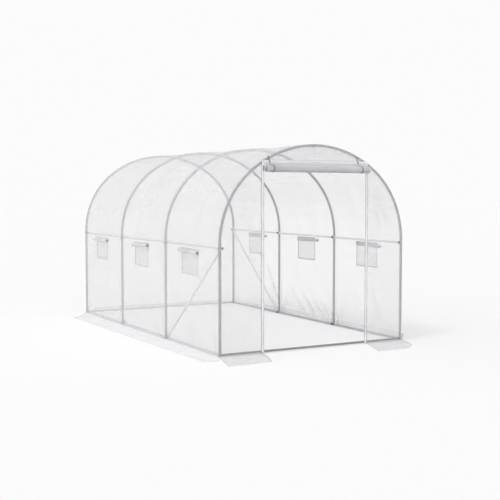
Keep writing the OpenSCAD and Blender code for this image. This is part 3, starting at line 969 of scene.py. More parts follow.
class TUNNEL_OT_hardware(bpy.types.Operator):
    """Round-headed bolts, washers and moulded knob nuts"""

    bl_idname = "tunnel.hardware"
    bl_label = "Bolts and knobs"

    def execute(self, context):
        steel, black = material_for("bolt"), material_for("knob")
        mm = 0.001
        for level, z in (("foot", BASE_RAIL_Z), ("shoulder", SHOULDER_RAIL_Z)):
            heads, seats, turns_out, turns_in, spacers, spacer_turns = [], [], [], [], [], []
            for side, sign in SIDES.items():
                for i, y in enumerate(HOOP_Y):
                    heads.append((sign * (HALF_W + TUBE_R - 0.0006), y, z))
                    turns_out.append((0, sign * math.pi / 2, 0))
                    layers = layers_at(side, i, level == "shoulder")
                    if level == "foot" and i in (0, HOOPS - 1):
                        continue
                    seats.append((sign * (HALF_W - TUBE_R - layers * LAYER_T - SEAT_GAP), y, z))
                    turns_in.append((0, -sign * math.pi / 2, 0))
                    if layers == 3 and level == "shoulder":
                        spacers.append((sign * (HALF_W - TUBE_R - 2 * LAYER_T), y, z))
                        spacer_turns.append((0, sign * math.pi / 2, 0))
            dome = turned(
                f"{level}_head_shape",
                [
                    (7.4 * mm, 0, 0), (7.5 * mm, 0.7 * mm, 0), (6.6 * mm, 1.5 * mm, 0),
                    (4.4 * mm, 2.0 * mm, 0), (1.5 * mm, 2.25 * mm, 0)],
                20, steel)
            pieces = [on_points(f"{level}_heads", heads, turns_out, dome, steel)]
            washer = turned(
                f"{level}_washer_shape",
                [
                    (8.6 * mm, 0.1 * mm, 0), (9.0 * mm, 0.3 * mm, 0), (9.0 * mm, 1.3 * mm, 0),
                    (8.6 * mm, 1.5 * mm, 0)], 24, steel)
            pieces.append(on_points(f"{level}_washers", seats, turns_in, washer, steel))
            tip = turned(
                f"{level}_tip_shape",
                [(2.9 * mm, 13 * mm, 0)] + [
                    (r * mm, (14.2 + 0.5 * k) * mm, 0) for k, r in enumerate((2.9, 2.6, 2.9, 2.6, 2.9, 2.6, 2.7, 2.2))],
                16, steel)
            pieces.append(on_points(f"{level}_tips", seats, turns_in, tip, steel))
            if spacers:
                ring = turned(
                    f"{level}_spacer_shape",
                    [(6 * mm, -0.1 * mm, 0), (6 * mm, 2.1 * mm, 0)], 20, steel)
                pieces.append(on_points(f"{level}_spacers", spacers, spacer_turns, ring, steel))
            metal = joined(f"{level}_bolts_and_washers", pieces)
            knob = turned(
                f"{level}_knob_shape",
                [(6.5 * mm, 1.5 * mm, 0), (7.0 * mm, 2.4 * mm, 0), (9.6 * mm, 3.2 * mm, 0.8), (10.8 * mm, 4.2 * mm, 1),
                 (11 * mm, 6 * mm, 1), (11 * mm, 11 * mm, 1), (10.6 * mm, 12.6 * mm, 1), (9.2 * mm, 13.7 * mm, 1),
                 (6.4 * mm, 14 * mm, 0.6), (4.4 * mm, 14 * mm, 0), (4.1 * mm, 13.2 * mm, 0)],
                40, black, lobes=5, depth=0.2)
            knobs = on_points(f"{level}_knobs", seats, turns_in, knob, black)
            fitted(metal, "dark_hardware", f"{level}_bolts")
            fitted(knobs, "dark_hardware")
        line = HoopLine(context.scene.tunnel_tubes.crown)
        x = -0.025
        lean = math.asin(x / line.top_r)
        under = line.top_r - TUBE_R - SEAT_GAP
        out = [(math.sin(lean) * under, y, line.top_c[1] + math.cos(lean) * under) for y in HOOP_Y]
        nut = turned(
            "apex_nut_shape",
            [(5.2 * mm, 0, 0), (6.0 * mm, 0.7 * mm, 1), (6.0 * mm, 7.2 * mm, 1), (5.2 * mm, 8 * mm, 0), (3.6 * mm, 8.0 * mm, 0),
             (3.0 * mm, 8.2 * mm, 0), (3.0 * mm, 9.6 * mm, 0), (2.5 * mm, 10.1 * mm, 0)],
            24, black, lobes=6, depth=0.13)
        nuts = on_points("apex_nuts", out, [(math.pi, lean, 0)] * HOOPS, nut, black)
        over = line.top_r + TUBE_R - 0.0006
        dome = turned(
            "apex_head_shape",
            [
                (7.4 * mm, 0, 0), (7.5 * mm, 0.5 * mm, 0), (6.0 * mm, 1.1 * mm, 0),
                (1.5 * mm, 1.6 * mm, 0)], 20, steel)
        heads = on_points(
            "apex_heads", [(math.sin(lean) * over, y, line.top_c[1] + math.cos(lean) * over) for y in HOOP_Y],
            [(0, lean, 0)] * HOOPS, dome, steel)
        fitted(nuts, "dark_hardware", "arch_bolts")
        fitted(heads, "dark_hardware")
        return {"FINISHED"}


# ---- The film cover ----

SILL_Z, HEAD_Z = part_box("window_mesh")[0].z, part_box("window_mesh")[1].z
WINDOW_HALF_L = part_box("window_mesh")[1].y - (HOOP_Y[-2] + HOOP_Y[-1]) / 2
BAY_Y = [(HOOP_Y[i] + HOOP_Y[i + 1]) / 2 for i in range(BAYS)]
ON_HOOP = 0.0132
LIP_R = ON_HOOP
# Folds pulled up from the foot of the right wall: low end, high end (y, z) and height
FOOT_FOLDS = (
    ((-0.50, 0.05), (-0.28, 0.24), 0.009), ((-0.37, 0.05), (-0.10, 0.27), 0.008), ((-0.20, 0.05), (0.10, 0.30), 0.010),
    ((0.02, 0.05), (0.34, 0.33), 0.008), ((0.62, 0.10), (0.94, 0.62), 0.008), ((0.66, 0.08), (0.80, 0.44), 0.006))


def film_offset(line, s, y, settings):
    """How far the film lies outside the hoops' centre line: close on the hoops, drawn in between
    them, raised over the bolt heads, and creased where it was folded and where it meets the feet."""
    share = np.clip((y - HOOP_Y[0]) / BAY_L, 0, BAYS - 1e-6)
    u = share - np.floor(share)
    free = np.sin(math.pi * u) ** 2
    height = np.minimum(s, line.total - s)
    right = (s > line.total / 2).astype(float)
    roof = ease(height, line.leg * 0.8, line.leg * 1.5)
    flat = np.ones_like(s + y)
    for middle_y in BAY_Y:
        near_y = 1 - ease(np.abs(y - middle_y), WINDOW_HALF_L + 0.01, WINDOW_HALF_L + 0.12)
        near_z = 1 - ease(
            np.abs(height - (SILL_Z + HEAD_Z) / 2), (HEAD_Z - SILL_Z) / 2 + 0.01, (HEAD_Z - SILL_Z) / 2 + 0.1)
        flat = flat * (1 - 0.85 * near_y * near_z)
    loose = free * flat
    offset = ON_HOOP - settings.sag * (0.25 + 0.75 * roof) * loose
    waves = wander(y * 1.9, s * 0.55, 11) * (1 - 0.45 * roof) + 0.12 * wander(y * 4.0, s * 1.2, 12)
    offset = offset + settings.slack * waves * loose
    for crease_s in np.arange(0.33, line.total, 0.43):
        offset = offset + 0.0007 * free * flat * ridge(s - crease_s - 0.004 * wander(y, 0 * s, 13), 0.014)
    for crease_y in (-1.30, -0.94, -0.16, 0.21, 0.88, 1.33):
        offset = offset + 0.0007 * free * flat * ridge(y - crease_y - 0.004 * wander(0 * y, s, 14), 0.014)
    for i, hoop_y in enumerate(HOOP_Y):
        angle = np.arctan2(y - hoop_y, height + 0.05)
        reach = np.hypot(y - hoop_y, height)
        strength = settings.fold * (0.4 + 2.0 * right * (i in (1, 2)))
        fan = np.cos(angle * (6 + i) + i + 2 * right) * np.exp(-reach / 0.27) * ease(np.abs(y - hoop_y), 0.012, 0.06)
        offset = offset + strength * fan * flat
        for bolt_s in (BASE_RAIL_Z, SHOULDER_RAIL_Z):
            apart = ((y - hoop_y) ** 2 + (height - bolt_s) ** 2) / 0.017**2
            offset = offset + 0.0024 * np.exp(-apart)
        tug = np.cos((np.arctan2(height - SHOULDER_RAIL_Z, np.abs(y - hoop_y) + 0.03)) * 8 + i) * np.exp(
            -np.hypot(y - hoop_y, height - SHOULDER_RAIL_Z) / 0.13) * ease(np.abs(y - hoop_y), 0.012, 0.05)
        offset = offset + 0.15 * settings.fold * tug * flat
    for (low_y, low_z), (high_y, high_z), rise in FOOT_FOLDS:
        dy, dz = high_y - low_y, high_z - low_z
        span = math.hypot(dy, dz)
        along_it = ((y - low_y) * dy + (height - low_z) * dz) / span**2
        apart = ((y - low_y) * dz - (height - low_z) * dy) / span
        offset = offset + right * rise * np.exp(-(apart / 0.022) ** 2) * ease(along_it, -0.15, 0.2) * (1 - ease(along_it, 0.5, 1.2))
    return offset


def spread(low, high, step):
    return np.linspace(low, high, max(2, int(math.ceil((high - low) / step)) + 1))


class TUNNEL_OT_cover(bpy.types.Operator):
    """One sheet of film over the four hoops, from ground to ground, with its window openings"""

    bl_idname = "tunnel.cover"
    bl_label = "Film cover"

    def execute(self, context):
        settings = context.scene.tunnel_film
        line = HoopLine(context.scene.tunnel_tubes.crown)
        ground = 0.0008
        wall = np.concatenate([
            [ground, BASE_RAIL_Z], spread(BASE_RAIL_Z, SILL_Z, 0.0165), spread(SILL_Z, HEAD_Z, 0.0165),
            [SHOULDER_RAIL_Z], spread(SHOULDER_RAIL_Z, line.leg, 0.014)])
        roof = spread(line.leg, line.total - line.leg, 0.030)
        s = np.unique(np.round(np.concatenate([wall, roof, line.total - wall]), 6))
        near = np.array([0, 0.007, 0.014, 0.024, 0.038])
        columns = []
        for i in range(BAYS):
            a, b = BAY_Y[i] - WINDOW_HALF_L, BAY_Y[i] + WINDOW_HALF_L
            columns += [HOOP_Y[i] + near, spread(HOOP_Y[i] + near[-1], a, 0.0225), spread(a, b, 0.0225),
                        spread(b, HOOP_Y[i + 1] - near[-1], 0.0225), HOOP_Y[i + 1] - near]
        y = np.unique(np.round(np.concatenate(columns), 6))
        S, Y = np.meshgrid(s, y, indexing="ij")
        offset = film_offset(line, S, Y, settings)
        place, out = line.at(S)
        grid = np.stack([place[..., 0] + out[..., 0] * offset, Y, place[..., 1] + out[..., 1] * offset], -1)
        roof_share = ease(np.minimum(S, line.total - S), line.leg, line.leg * 1.4)
        # The fold attribute carries painted shade where the film bends sharply, and a fixed share over the roof that
        # makes it milkier and greyer
        fold = np.clip(creasing(offset, 0.02, 0.02) + 0.12 * roof_share, 0, 1)
        lips = []
        for end, sign in ((HOOP_Y[0], -1.0), (END_Y, 1.0)):
            turn = np.array([0.25, 0.5, 0.75, 1.0]) * math.pi / 2
            off = np.concatenate([LIP_R * np.cos(turn), [-0.004, -0.012]])
            out_y = np.concatenate([LIP_R * np.sin(turn), [LIP_R, LIP_R]])
            place, out = line.at(np.repeat(s[:, None], len(off), 1))
            lip = np.stack([
                place[..., 0] + out[..., 0] * off, np.broadcast_to(end + sign * out_y, place.shape[:2]),
                place[..., 1] + out[..., 1] * off], -1)
            lips.append(lip if sign > 0 else lip[:, ::-1])
        whole = np.concatenate([lips[0], grid, lips[1]], axis=1)
        edge = np.full(lips[0].shape[:2], 0.25)
        fold = np.concatenate([edge, fold, edge], axis=1)
        middle_s = (S[:-1, :-1] + S[1:, 1:]) / 2
        middle_y = (Y[:-1, :-1] + Y[1:, 1:]) / 2
        height = np.minimum(middle_s, line.total - middle_s)
        inside = np.zeros(middle_y.shape, bool)
        for bay_y in BAY_Y:
            inside |= (np.abs(middle_y - bay_y) < WINDOW_HALF_L) & (height > SILL_Z) & (height < HEAD_Z)
        kept = np.ones((whole.shape[0] - 1, whole.shape[1] - 1), bool)
        n = lips[0].shape[1]
        kept[:, n : n + inside.shape[1]] = ~inside
        cover = film_mesh("film_cover", whole, material_for("film"), settings.thickness, kept, fold)
        fitted(cover, "film", "cover_left_wall", "cover_right_wall", "cover_roof")
        return {"FINISHED"}


# ---- The film of the two ends ----


LIP_R_OUT = 0.0142
PANEL_EDGE = 0.008


def end_film(line, sign, s, inner, columns, waves, hemmed=0.0):
    """Points of a panel of film across an end. Its rows follow the hoop from s[0] to s[-1], and
    inner gives the x at which a row starts; the outer edge turns back round the end hoop. hemmed is
    how much the doubled hem along the inner edge shows."""
    place, _ = line.at(s, PANEL_EDGE)
    z = place[:, 1]
    edge = np.abs(place[:, 0])
    start = np.minimum(inner(edge), edge)
    t = np.linspace(0, 1, columns)
    t = np.where(t < 0.5, t, 1 - (1 - t) ** 1.35 * 2**0.35)
    X = start[:, None] + (edge - start)[:, None] * t
    Z = np.repeat(z[:, None], columns, 1)
    past = line.past(X, Z)
    curve = np.sqrt(LIP_R_OUT**2 - np.clip(past, 0, PANEL_EDGE) ** 2)
    loose = ease(-past, 0.0, 0.14) * ease(Z, 0.02, 0.2) * ease(X - start[:, None], 0.025, 0.1)
    bulge = waves(X, Z) * loose
    Y = sign * (END_Y + curve + bulge)
    hem = 1 - ease(X - start[:, None], 0.016, 0.024)
    # The fold attribute carries painted shade where the film bends sharply, and the real doubled hem
    fold = np.clip(creasing(bulge, 0.02, 0.025) + hemmed * hem, 0, 1)
    return np.stack([X, Y, Z], -1), fold


class TUNNEL_OT_ends(bpy.types.Operator):
    """Film of the back, of the two panels beside the doorway and of the gable over it"""

    bl_idname = "tunnel.ends"
    bl_label = "Ends"

    def execute(self, context):
        settings = context.scene.tunnel_film
        line = HoopLine(context.scene.tunnel_tubes.crown)
        ground = 0.0008
        apex_s = line.total / 2
        head_s = line.length_at(DOOR_TOP, PANEL_EDGE)

        for side, sign, seed in (("left", -1.0, 31), ("right", 1.0, 37)):
            s = np.concatenate([spread(ground, line.leg, 0.017), spread(line.leg, head_s, 0.017)[1:]])

            def waves(x, z, right=sign > 0, seed=seed):
                height = settings.slack * (0.8 * wander(x * 1.8, z * 0.7, seed) + 0.3 * wander(x * 5, z * 3, seed + 1))
                height = height + 0.0012 * ridge(z - 0.86 - 0.01 * np.sin(9 * x), 0.012)
                for top_x, top_z, low_x, low_z, rise in (
                        (0.60, 1.52, 0.84, 1.14, 0.008), (0.60, 1.46, 0.74, 1.10, 0.006), (0.62, 1.58, 0.80, 1.34, 0.005),
                        (0.60, 0.62, 0.78, 0.12, 0.004)):
                    dx, dz = low_x - top_x, low_z - top_z
                    span = math.hypot(dx, dz)
                    u = ((x - top_x) * dx + (z - top_z) * dz) / span**2
                    apart = ((x - top_x) * dz - (z - top_z) * dx) / span
                    height = height + (rise if right else 0.45 * rise) * np.exp(-(apart / 0.02) ** 2) * ease(u, -0.1, 0.2) * (1 - ease(u, 0.7, 1.1))
                return height

            grid, fold = end_film(line, -1.0, s, lambda edge: np.full_like(edge, PANEL_IN), 34, waves, 0.8)
            if sign < 0:
                grid = grid * np.array([-1.0, 1.0, 1.0])
            panel = film_mesh(
                f"film_front_{side}", grid, material_for("front"), settings.thickness, None, fold)
            fitted(panel, "film", f"cover_front_{side}")

        def whole_width(edge):
            return -edge

        s = np.concatenate([spread(head_s, apex_s - 0.02, 0.02), [apex_s - 0.008, apex_s]])

        def gable_waves(x, z):
            return settings.slack * 0.35 * wander(x * 2.2, z * 2, 41) + 0.0015 * ridge(x + 0.03, 0.02)

        grid, fold = end_film(line, -1.0, s, whole_width, 61, gable_waves)
        gable = film_mesh("film_gable", grid, material_for("gable"), settings.thickness * 1.4, None, fold)
        fitted(gable, "gable_film", "cover_front_gable")

        s = np.concatenate([
            spread(ground, line.leg, 0.02), spread(line.leg, apex_s - 0.03, 0.02)[1:],
            [apex_s - 0.012, apex_s]])

        def back_waves(x, z):
            height = settings.slack * (0.9 * wander(x * 1.5, z * 0.7, 51) + 0.35 * wander(x * 4.4, z * 2, 52))
            for crease in (-0.41, 0.02, 0.44):
                height = height + 0.0012 * ridge(x - crease - 0.006 * np.sin(4 * z), 0.012)
            for crease in (0.45, 0.88, 1.31):
                height = height + 0.0012 * ridge(z - crease - 0.006 * np.sin(3 * x), 0.012)
            return height

        grid, fold = end_film(line, 1.0, s, whole_width, 97, back_waves)
        back = film_mesh("film_back", grid, material_for("front"), settings.thickness, None, fold)
        fitted(back, "film", "cover_back")
        return {"FINISHED"}


# ---- The doorway ----


def spiral(turns, low_r, high_r, steps):
    """Angle and radius along a sheet wound from the outside in."""
    angle = np.linspace(0, 2 * math.pi * turns, int(turns * steps) + 1)
    return angle, high_r - (high_r - low_r) * angle / angle[-1]


def stitches(name, paths, material, pitch=0.006, thread=0.0007):
    """Rows of sewing thread: short flattened stitches end to end."""
    long, wide = pitch * 0.36, thread
    ring = [(wide, 0.0), (0.0, wide), (-wide, 0.0), (0.0, -wide)]
    points = [(0, 0, -long)] + [
        (x, y, z) for z in (-long * 0.6, long * 0.6) for x, y in ring] + [(0, 0, long)]
    faces = [(0, 1 + (k + 1) % 4, 1 + k) for k in range(4)]
    faces += [(1 + k, 1 + (k + 1) % 4, 5 + (k + 1) % 4, 5 + k) for k in range(4)]
    faces += [(9, 5 + k, 5 + (k + 1) % 4) for k in range(4)]
    stitch = plain_mesh(f"{name}_shape", points, faces, material)
    return along(name, paths, stitch, pitch, material)


def rolled(x_low, x_high, turns, low_r, high_r, centre, tilt, tail_top, columns, slip, seed, underside_shade=0.0):
    """Points of a sheet rolled up on itself along X, with its tail running up behind to tail_top.
    slip is how far the inner turns stand in from the two ends, and the last argument how much
    painted shade darkens the underside."""
    angle, radius = spiral(turns, low_r, high_r, 20)
    n_tail = max(3, int((tail_top - centre[1]) / 0.008))
    t = np.linspace(0, 1, columns)[None, :]
    wound = np.concatenate([np.zeros(n_tail), angle / angle[-1]])[:, None]
    loose = ease(wound, 0.0, 0.15)
    start = x_low + loose * (slip[0] * wound + 0.004 * np.sin(wound * turns * 2.3 + seed))
    end = x_high - loose * (slip[1] * wound + 0.004 * np.sin(wound * turns * 1.7 + seed + 1))
    x = start * (1 - t) + end * t
    still = np.zeros_like(t)
    lumps = 0.0007 * wander(t * 9, still, seed) + 0.0005 * wander(t * 26, still, seed + 3)
    a = np.concatenate([np.zeros(n_tail), angle])[:, None]
    crumple = 0.0006 * wander(t * 14, a * 0.35, seed + 5) * (a < 2 * math.pi)
    r = np.concatenate([np.full(n_tail, high_r), radius])[:, None] + lumps + crumple
    y = centre[0] + r * np.cos(a)
    z = centre[1] + tilt * (t - 0.5) - 0.975 * r * np.sin(a)
    up = np.concatenate([np.linspace(1, 0, n_tail, endpoint=False), np.zeros(len(angle))])[:, None]
    z = z + up * (tail_top - z)
    # The last term is painted shade: greyer and more opaque on the underside of the roll
    fold = 0.03 + 0.15 * np.abs(wander(t * 5, a * 0.2, seed + 7)) * (a > 0) + underside_shade * np.clip(np.sin(a) * (a > 0), 0, 1)
    return np.stack([x, y, z], -1), np.broadcast_to(fold, x.shape)


class TUNNEL_OT_doorway(bpy.types.Operator):
    """Zips, head band and the rolled-up door with its two ties"""

    bl_idname = "tunnel.doorway"
    bl_label = "Doorway"

    def execute(self, context):
        door = context.scene.tunnel_door
        line = HoopLine(context.scene.tunnel_tubes.crown)
        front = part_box("door_zips")[0].y
        tape_y = front + 0.0008
        zip_low, zip_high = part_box("door_zips")[0].z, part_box("door_zips")[1].z
        tapes, coils = [], []
        z = np.linspace(zip_low, zip_high, 130)
        for side, sign in SIDES.items():
            x = sign * (ZIP_IN + ZIP_OUT) / 2 + 0.0007 * wander(z * 2.5, 0 * z, 61)
            y = tape_y + 0.0002 + 0.0005 * wander(z * 4, 0 * z, 62)
            path = np.stack([x, y, z], -1)
            tapes.append(outward(band(
                f"zip_tape_{side}", path, np.tile([1.0, 0, 0], (len(z), 1)), ZIP_OUT - ZIP_IN, 0.0012,
                material_for("tape"))))
            coils.append(np.stack(
                [
                    np.full(300, sign * (ZIP_IN + 0.0045)), np.full(300, tape_y - 0.0001),
                    np.linspace(zip_low + 0.004, zip_high - 0.003, 300)],
                -1))
        tape = fitted(joined("zip_tapes", tapes), "tape", "door_zips")
        half, tall = 0.0029, door.tooth_pitch * 0.33
        tooth = plain_mesh(
            "tooth_shape",
            [(-half, -0.0008, -tall), (half, -0.0008, -tall), (half * 0.8, 0.0009, -tall * 0.7), (-half * 0.8, 0.0009, -tall * 0.7),
             (-half, -0.0008, tall), (half, -0.0008, tall), (half * 0.8, 0.0009, tall * 0.7), (-half * 0.8, 0.0009, tall * 0.7)],
            [
                (0, 3, 2, 1), (4, 5, 6, 7), (0, 1, 5, 4), (1, 2, 6, 5), (2, 3, 7, 6),
                (3, 0, 4, 7)], material_for("tooth"), smooth=False)
        teeth = outward(along("zip_teeth", coils, outward(tooth), door.tooth_pitch, material_for("tooth")))
        fitted(teeth, "dark_hardware")

        sliders = []
        for side, sign in SIDES.items():
            x, top = sign * (ZIP_IN + 0.0045), DOOR_TOP - 0.03
            body = turned(
                f"slider_{side}",
                [(0.0045, 0, 0), (0.0055, 0.001, 0), (0.0055, 0.003, 0), (0.0042, 0.0042, 0)], 20,
                material_for("knob"))
            body.data.transform(Matrix.Translation((x, tape_y - 0.0008, top)) @ Matrix.Rotation(math.pi / 2, 4, "X") @ Matrix.Diagonal((1, 1.5, 1, 1)))
            hang = np.linspace(0, 1, 8)[:, None]
            pull = band(
                f"zip_pull_{side}", np.array([x, tape_y - 0.0052, top - 0.002]) + hang * np.array([0.003 * sign, -0.0006, -0.036]),
                np.tile([1.0, 0, 0], (8, 1)), 0.007, 0.0014, material_for("knob"))
            sliders += [outward(body), outward(pull)]
        fitted(joined("zip_sliders", sliders), "dark_hardware")

        low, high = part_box("door_head_band")
        x = np.linspace(low.x, high.x, 110)
        mid_z = (low.z + high.z) / 2
        path = np.stack(
            [
                x, np.full_like(x, front + 0.0010) + 0.0003 * wander(x * 4, 0 * x, 63),
                mid_z + 0.0008 * wander(x * 3, 0 * x, 64)],
            -1)
        head = outward(band(
            "door_head_tape", path, np.tile([0, 0, 1.0], (len(x), 1)), high.z - low.z, 0.0014,
            material_for("tape")))
        fitted(head, "tape", "door_head_band")
        hem_z = high.z + 0.0085
        path = np.stack([x, np.full_like(x, front + 0.0010), hem_z + 0.0005 * wander(x * 3, 0 * x, 65)], -1)
        hem = outward(band(
            "gable_hem_tape", path, np.tile([0, 0, 1.0], (len(x), 1)), 0.016, 0.0014, material_for("tape")))
        fitted(hem, "tape")
        cords = []
        for z in (high.z + 0.0005, high.z + 0.0180):
            cords.append([(float(a), front + 0.0012, z) for a in x])
        for sign in (-1, 1):
            for edge in (ZIP_IN, ZIP_OUT):
                cords.append([
                    (sign * edge, front + 0.0014, float(b))
                    for b in np.linspace(zip_low + 0.003, zip_high - 0.003, 60)])
        piping = tubes(
            "door_piping", cords, [[1.0] * len(one) for one in cords], 0.0011, 8, material_for("cord"))
        fitted(piping, "tie")
        rows = []
        for z in (low.z + 0.004, high.z - 0.004):
            rows.append([(x, front + 0.0002, z) for x in np.linspace(low.x + 0.004, high.x - 0.004, 60)])
        for sign in (-1, 1):
            rows.append([
                (sign * (ZIP_OUT - 0.003), front + 0.0003, z)
                for z in np.linspace(zip_low + 0.01, zip_high - 0.01, 90)])
        fitted(stitches("door_stitches", rows, material_for("thread")), "tape")

        centre = ((ROLL_LOW.y + ROLL_HIGH.y) / 2, (ROLL_LOW.z + 0.0343))
        # The last argument paints shade on the roll's underside
        grid, fold = rolled(
            ROLL_LOW.x + 0.001, ROLL_HIGH.x - 0.001, door.turns, 0.005, 0.0328, centre, -0.004, ROLL_HIGH.z - 0.008,
            42, (0.030, 0.012), 71, 0.55)
        sheet = film_mesh("rolled_door", grid, material_for("roll"), 0.0010, None, fold)
        fitted(sheet, "rolled_film", "door_roll")

        tie_r = 0.0352
        tie_low, tie_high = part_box("door_ties")
        width = 0.025
        for side, x in (("left", tie_low.x + width / 2), ("right", tie_high.x - width / 2)):
            angle = np.linspace(math.radians(62), math.radians(62 + 352), 64)
            y = centre[0] + tie_r * np.sin(angle)
            z = centre[1] - 0.004 * (x + 0.03) / 1.17 + tie_r * np.cos(angle) * 0.98
            up = np.linspace(1.79, z[0] + 0.012, 12)
            lean = np.linspace(-0.03, 0.0, 12)
            strap = np.concatenate([
                np.stack([x + lean, np.full(12, front - 0.0006), up], -1),
                np.stack([np.full(64, x), y, z], -1)])
            tie = band(
                f"door_tie_{side}", strap, np.tile([1.0, 0, 0], (len(strap), 1)), width * 0.5, 0.0014,
                material_for("tie"))
            fitted(outward(tie), "tie", *(["door_ties"] if side == "left" else []))
        return {"FINISHED"}


# ---- Windows ----


def rounded_frame(low_a, high_a, low_b, high_b, radius, step):
    """Points round a rounded rectangle, with the direction across the line in its plane."""
    points, across = [], []
    corners = [(high_a - radius, high_b - radius, 0), (low_a + radius, high_b - radius, 1),
               (low_a + radius, low_b + radius, 2), (high_a - radius, low_b + radius, 3)]
    for k, (a, b, quarter) in enumerate(corners):
        for t in np.linspace(0, 1, 6):
            angle = (quarter + t) * math.pi / 2
            points.append((a + radius * math.cos(angle), b + radius * math.sin(angle)))
            across.append((math.cos(angle), math.sin(angle)))
        following = corners[(k + 1) % 4]
        angle = (quarter + 1) * math.pi / 2
        start = np.array(points[-1])
        end = np.array([following[0] + radius * math.cos(angle), following[1] + radius * math.sin(angle)])
        count = max(2, int(np.linalg.norm(end - start) / step))
        for t in np.linspace(0, 1, count + 1)[1:-1]:
            points.append(tuple(start + (end - start) * t))
            across.append((math.cos(angle), math.sin(angle)))
    return np.array(points), np.array(across)


def ring_band(name, path, across, width, thickness, material):
    """A closed loop of flat tape."""
    ahead = np.roll(path, -1, 0) - np.roll(path, 1, 0)
    up = np.cross(ahead, across)
    up /= np.linalg.norm(up, axis=1, keepdims=True)
    shape = [(-1, -0.4), (-0.9, 1), (0.9, 1), (1, -0.4), (1, -1), (-1, -1)]
    n, rows = len(shape), len(path)
    points = [
        p + a * w * width / 2 + u * t * thickness / 2 for p, a, u in zip(path, across, up) for w, t in shape]
    faces = []
    for row in range(rows):
        for k in range(n):
            a, b = row * n + k, row * n + (k + 1) % n
            c, d = (row + 1) % rows * n + (k + 1) % n, (row + 1) % rows * n + k
            faces.append((a, b, c, d))
    return outward(plain_mesh(name, points, faces, material, sharp=60))


class TUNNEL_OT_windows(bpy.types.Operator):
    """Mesh windows with bound edges, and their flaps rolled up and tied over them"""

    bl_idname = "tunnel.windows"
    bl_label = "Windows"

    def execute(self, context):
        windows, film = context.scene.tunnel_windows, context.scene.tunnel_film
        line = HoopLine(context.scene.tunnel_tubes.crown)
        roll_low, roll_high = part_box("window_rolls")
        roll_z = (roll_low.z + roll_high.z) / 2
        roll_r = (roll_high.z - roll_low.z) / 2
        roll_x = roll_high.x - roll_r
        roll_half = roll_high.y - BAY_Y[-1]
        meshes, frames, pipings, flaps, ends, bands, threads = [], [], [], [], [], [], []
        for side, sign in SIDES.items():
            def wall_x(y, z, past=0.0, sign=sign):
                s = z if sign < 0 else line.total - z
                return sign * (HALF_W + film_offset(line, s, y, film) + past)

            for bay, mid_y in enumerate(BAY_Y, start=1):
                y = np.linspace(mid_y - WINDOW_HALF_L - 0.005, mid_y + WINDOW_HALF_L + 0.005, 25)
                z = np.linspace(SILL_Z - 0.005, HEAD_Z + 0.005, 18)
                Z, Y = np.meshgrid(z, y, indexing="ij")
                bow = 0.0015 * wander(Y * 3, Z * 3, 80 + bay) * np.sin(np.pi * (Z - z[0]) / (z[-1] - z[0])) * np.sin(np.pi * (Y - y[0]) / (y[-1] - y[0]))
                meshes.append(film_mesh(
                    f"net_{side}_{bay}", np.stack(
                        [wall_x(Y, Z, -0.0008) + bow, Y, Z], -1), material_for("mesh"), 0.0006))
                edge, away = rounded_frame(
                    mid_y - WINDOW_HALF_L, mid_y + WINDOW_HALF_L, SILL_Z, HEAD_Z, 0.008, 0.022)
                for parts, past, width, thick, grow, key in (
                        (
                            frames, 0.0010, windows.binding, 0.0012, 0.0,
                            "binding"), (pipings, 0.0018, 0.003, 0.0016, -0.0055, "piping")):
                    ring = edge + away * grow
                    path = np.stack([wall_x(ring[:, 0], ring[:, 1], past), ring[:, 0], ring[:, 1]], -1)
                    across = np.stack([np.zeros(len(away)), away[:, 0], away[:, 1]], -1)
                    parts.append(ring_band(
                        f"{key}_{side}_{bay}", path, across, width, thick, material_for(key)))
                ring = np.concatenate([edge, edge[:1]]) + np.concatenate([away, away[:1]]) * windows.binding * 0.3
                threads.append([(float(wall_x(a, b, 0.0019)), float(a), float(b)) for a, b in ring])

                luck = np.random.default_rng(500 + bay + 10 * (sign > 0))
                skew = luck.uniform(-0.006, 0.006)
                # The grey tapes at both flap ends paint the shade in the open ends of the rolls
                for parts, low, high, thick, key, columns in (
                        (flaps, -roll_half + 0.006, roll_half - 0.006, 0.0010, "flap", 22),
                        (
                            ends, -roll_half, -roll_half + 0.009, 0.0014, "edge",
                            3), (ends, roll_half - 0.009, roll_half, 0.0014, "edge", 3)):
                    grid, fold = rolled(
                        low, high, windows.turns, 0.004, roll_r - 0.0009, (0.0, roll_z), 0.0, HEAD_Z + 0.004,
                        columns, (0.0, 0.0), 90 + bay)
                    turned_grid = np.stack([
                        sign * (roll_x - grid[..., 1]), mid_y + grid[..., 0], grid[..., 2] + skew * grid[..., 0] / roll_half], -1)
                    parts.append(film_mesh(
                        f"{key}_{side}_{bay}_{len(parts)}", turned_grid, material_for(key), thick, None,
                        fold))
                angle = np.linspace(math.radians(-80), math.radians(262), 40)
                strap = np.stack([
                    sign * (roll_x + (roll_r + 0.0006) * np.cos(angle)), np.full(40, mid_y + luck.uniform(-0.01, 0.01)),
                    roll_z + (roll_r + 0.0006) * np.sin(angle) * 0.98], -1)
                bands.append(outward(band(
                    f"flap_tie_{side}_{bay}", strap, np.tile([0, 1.0, 0], (40, 1)), 0.012, 0.0012,
                    material_for("piping"))))
        net = fitted(joined("window_nets", meshes), "mesh", "window_mesh")
        frame_piece = fitted(joined("window_bindings", frames), "tape")
        fitted(joined("window_piping", pipings), "tie")
        fitted(stitches("window_stitches", threads, material_for("thread")), "tape")
        flap = fitted(joined("rolled_flaps", flaps), "rolled_film", "window_rolls")
        fitted(joined("flap_edges", ends), "tie")
        tie = fitted(joined("flap_ties", bands), "tie")
        return {"FINISHED"}


# ---- Skirts ----


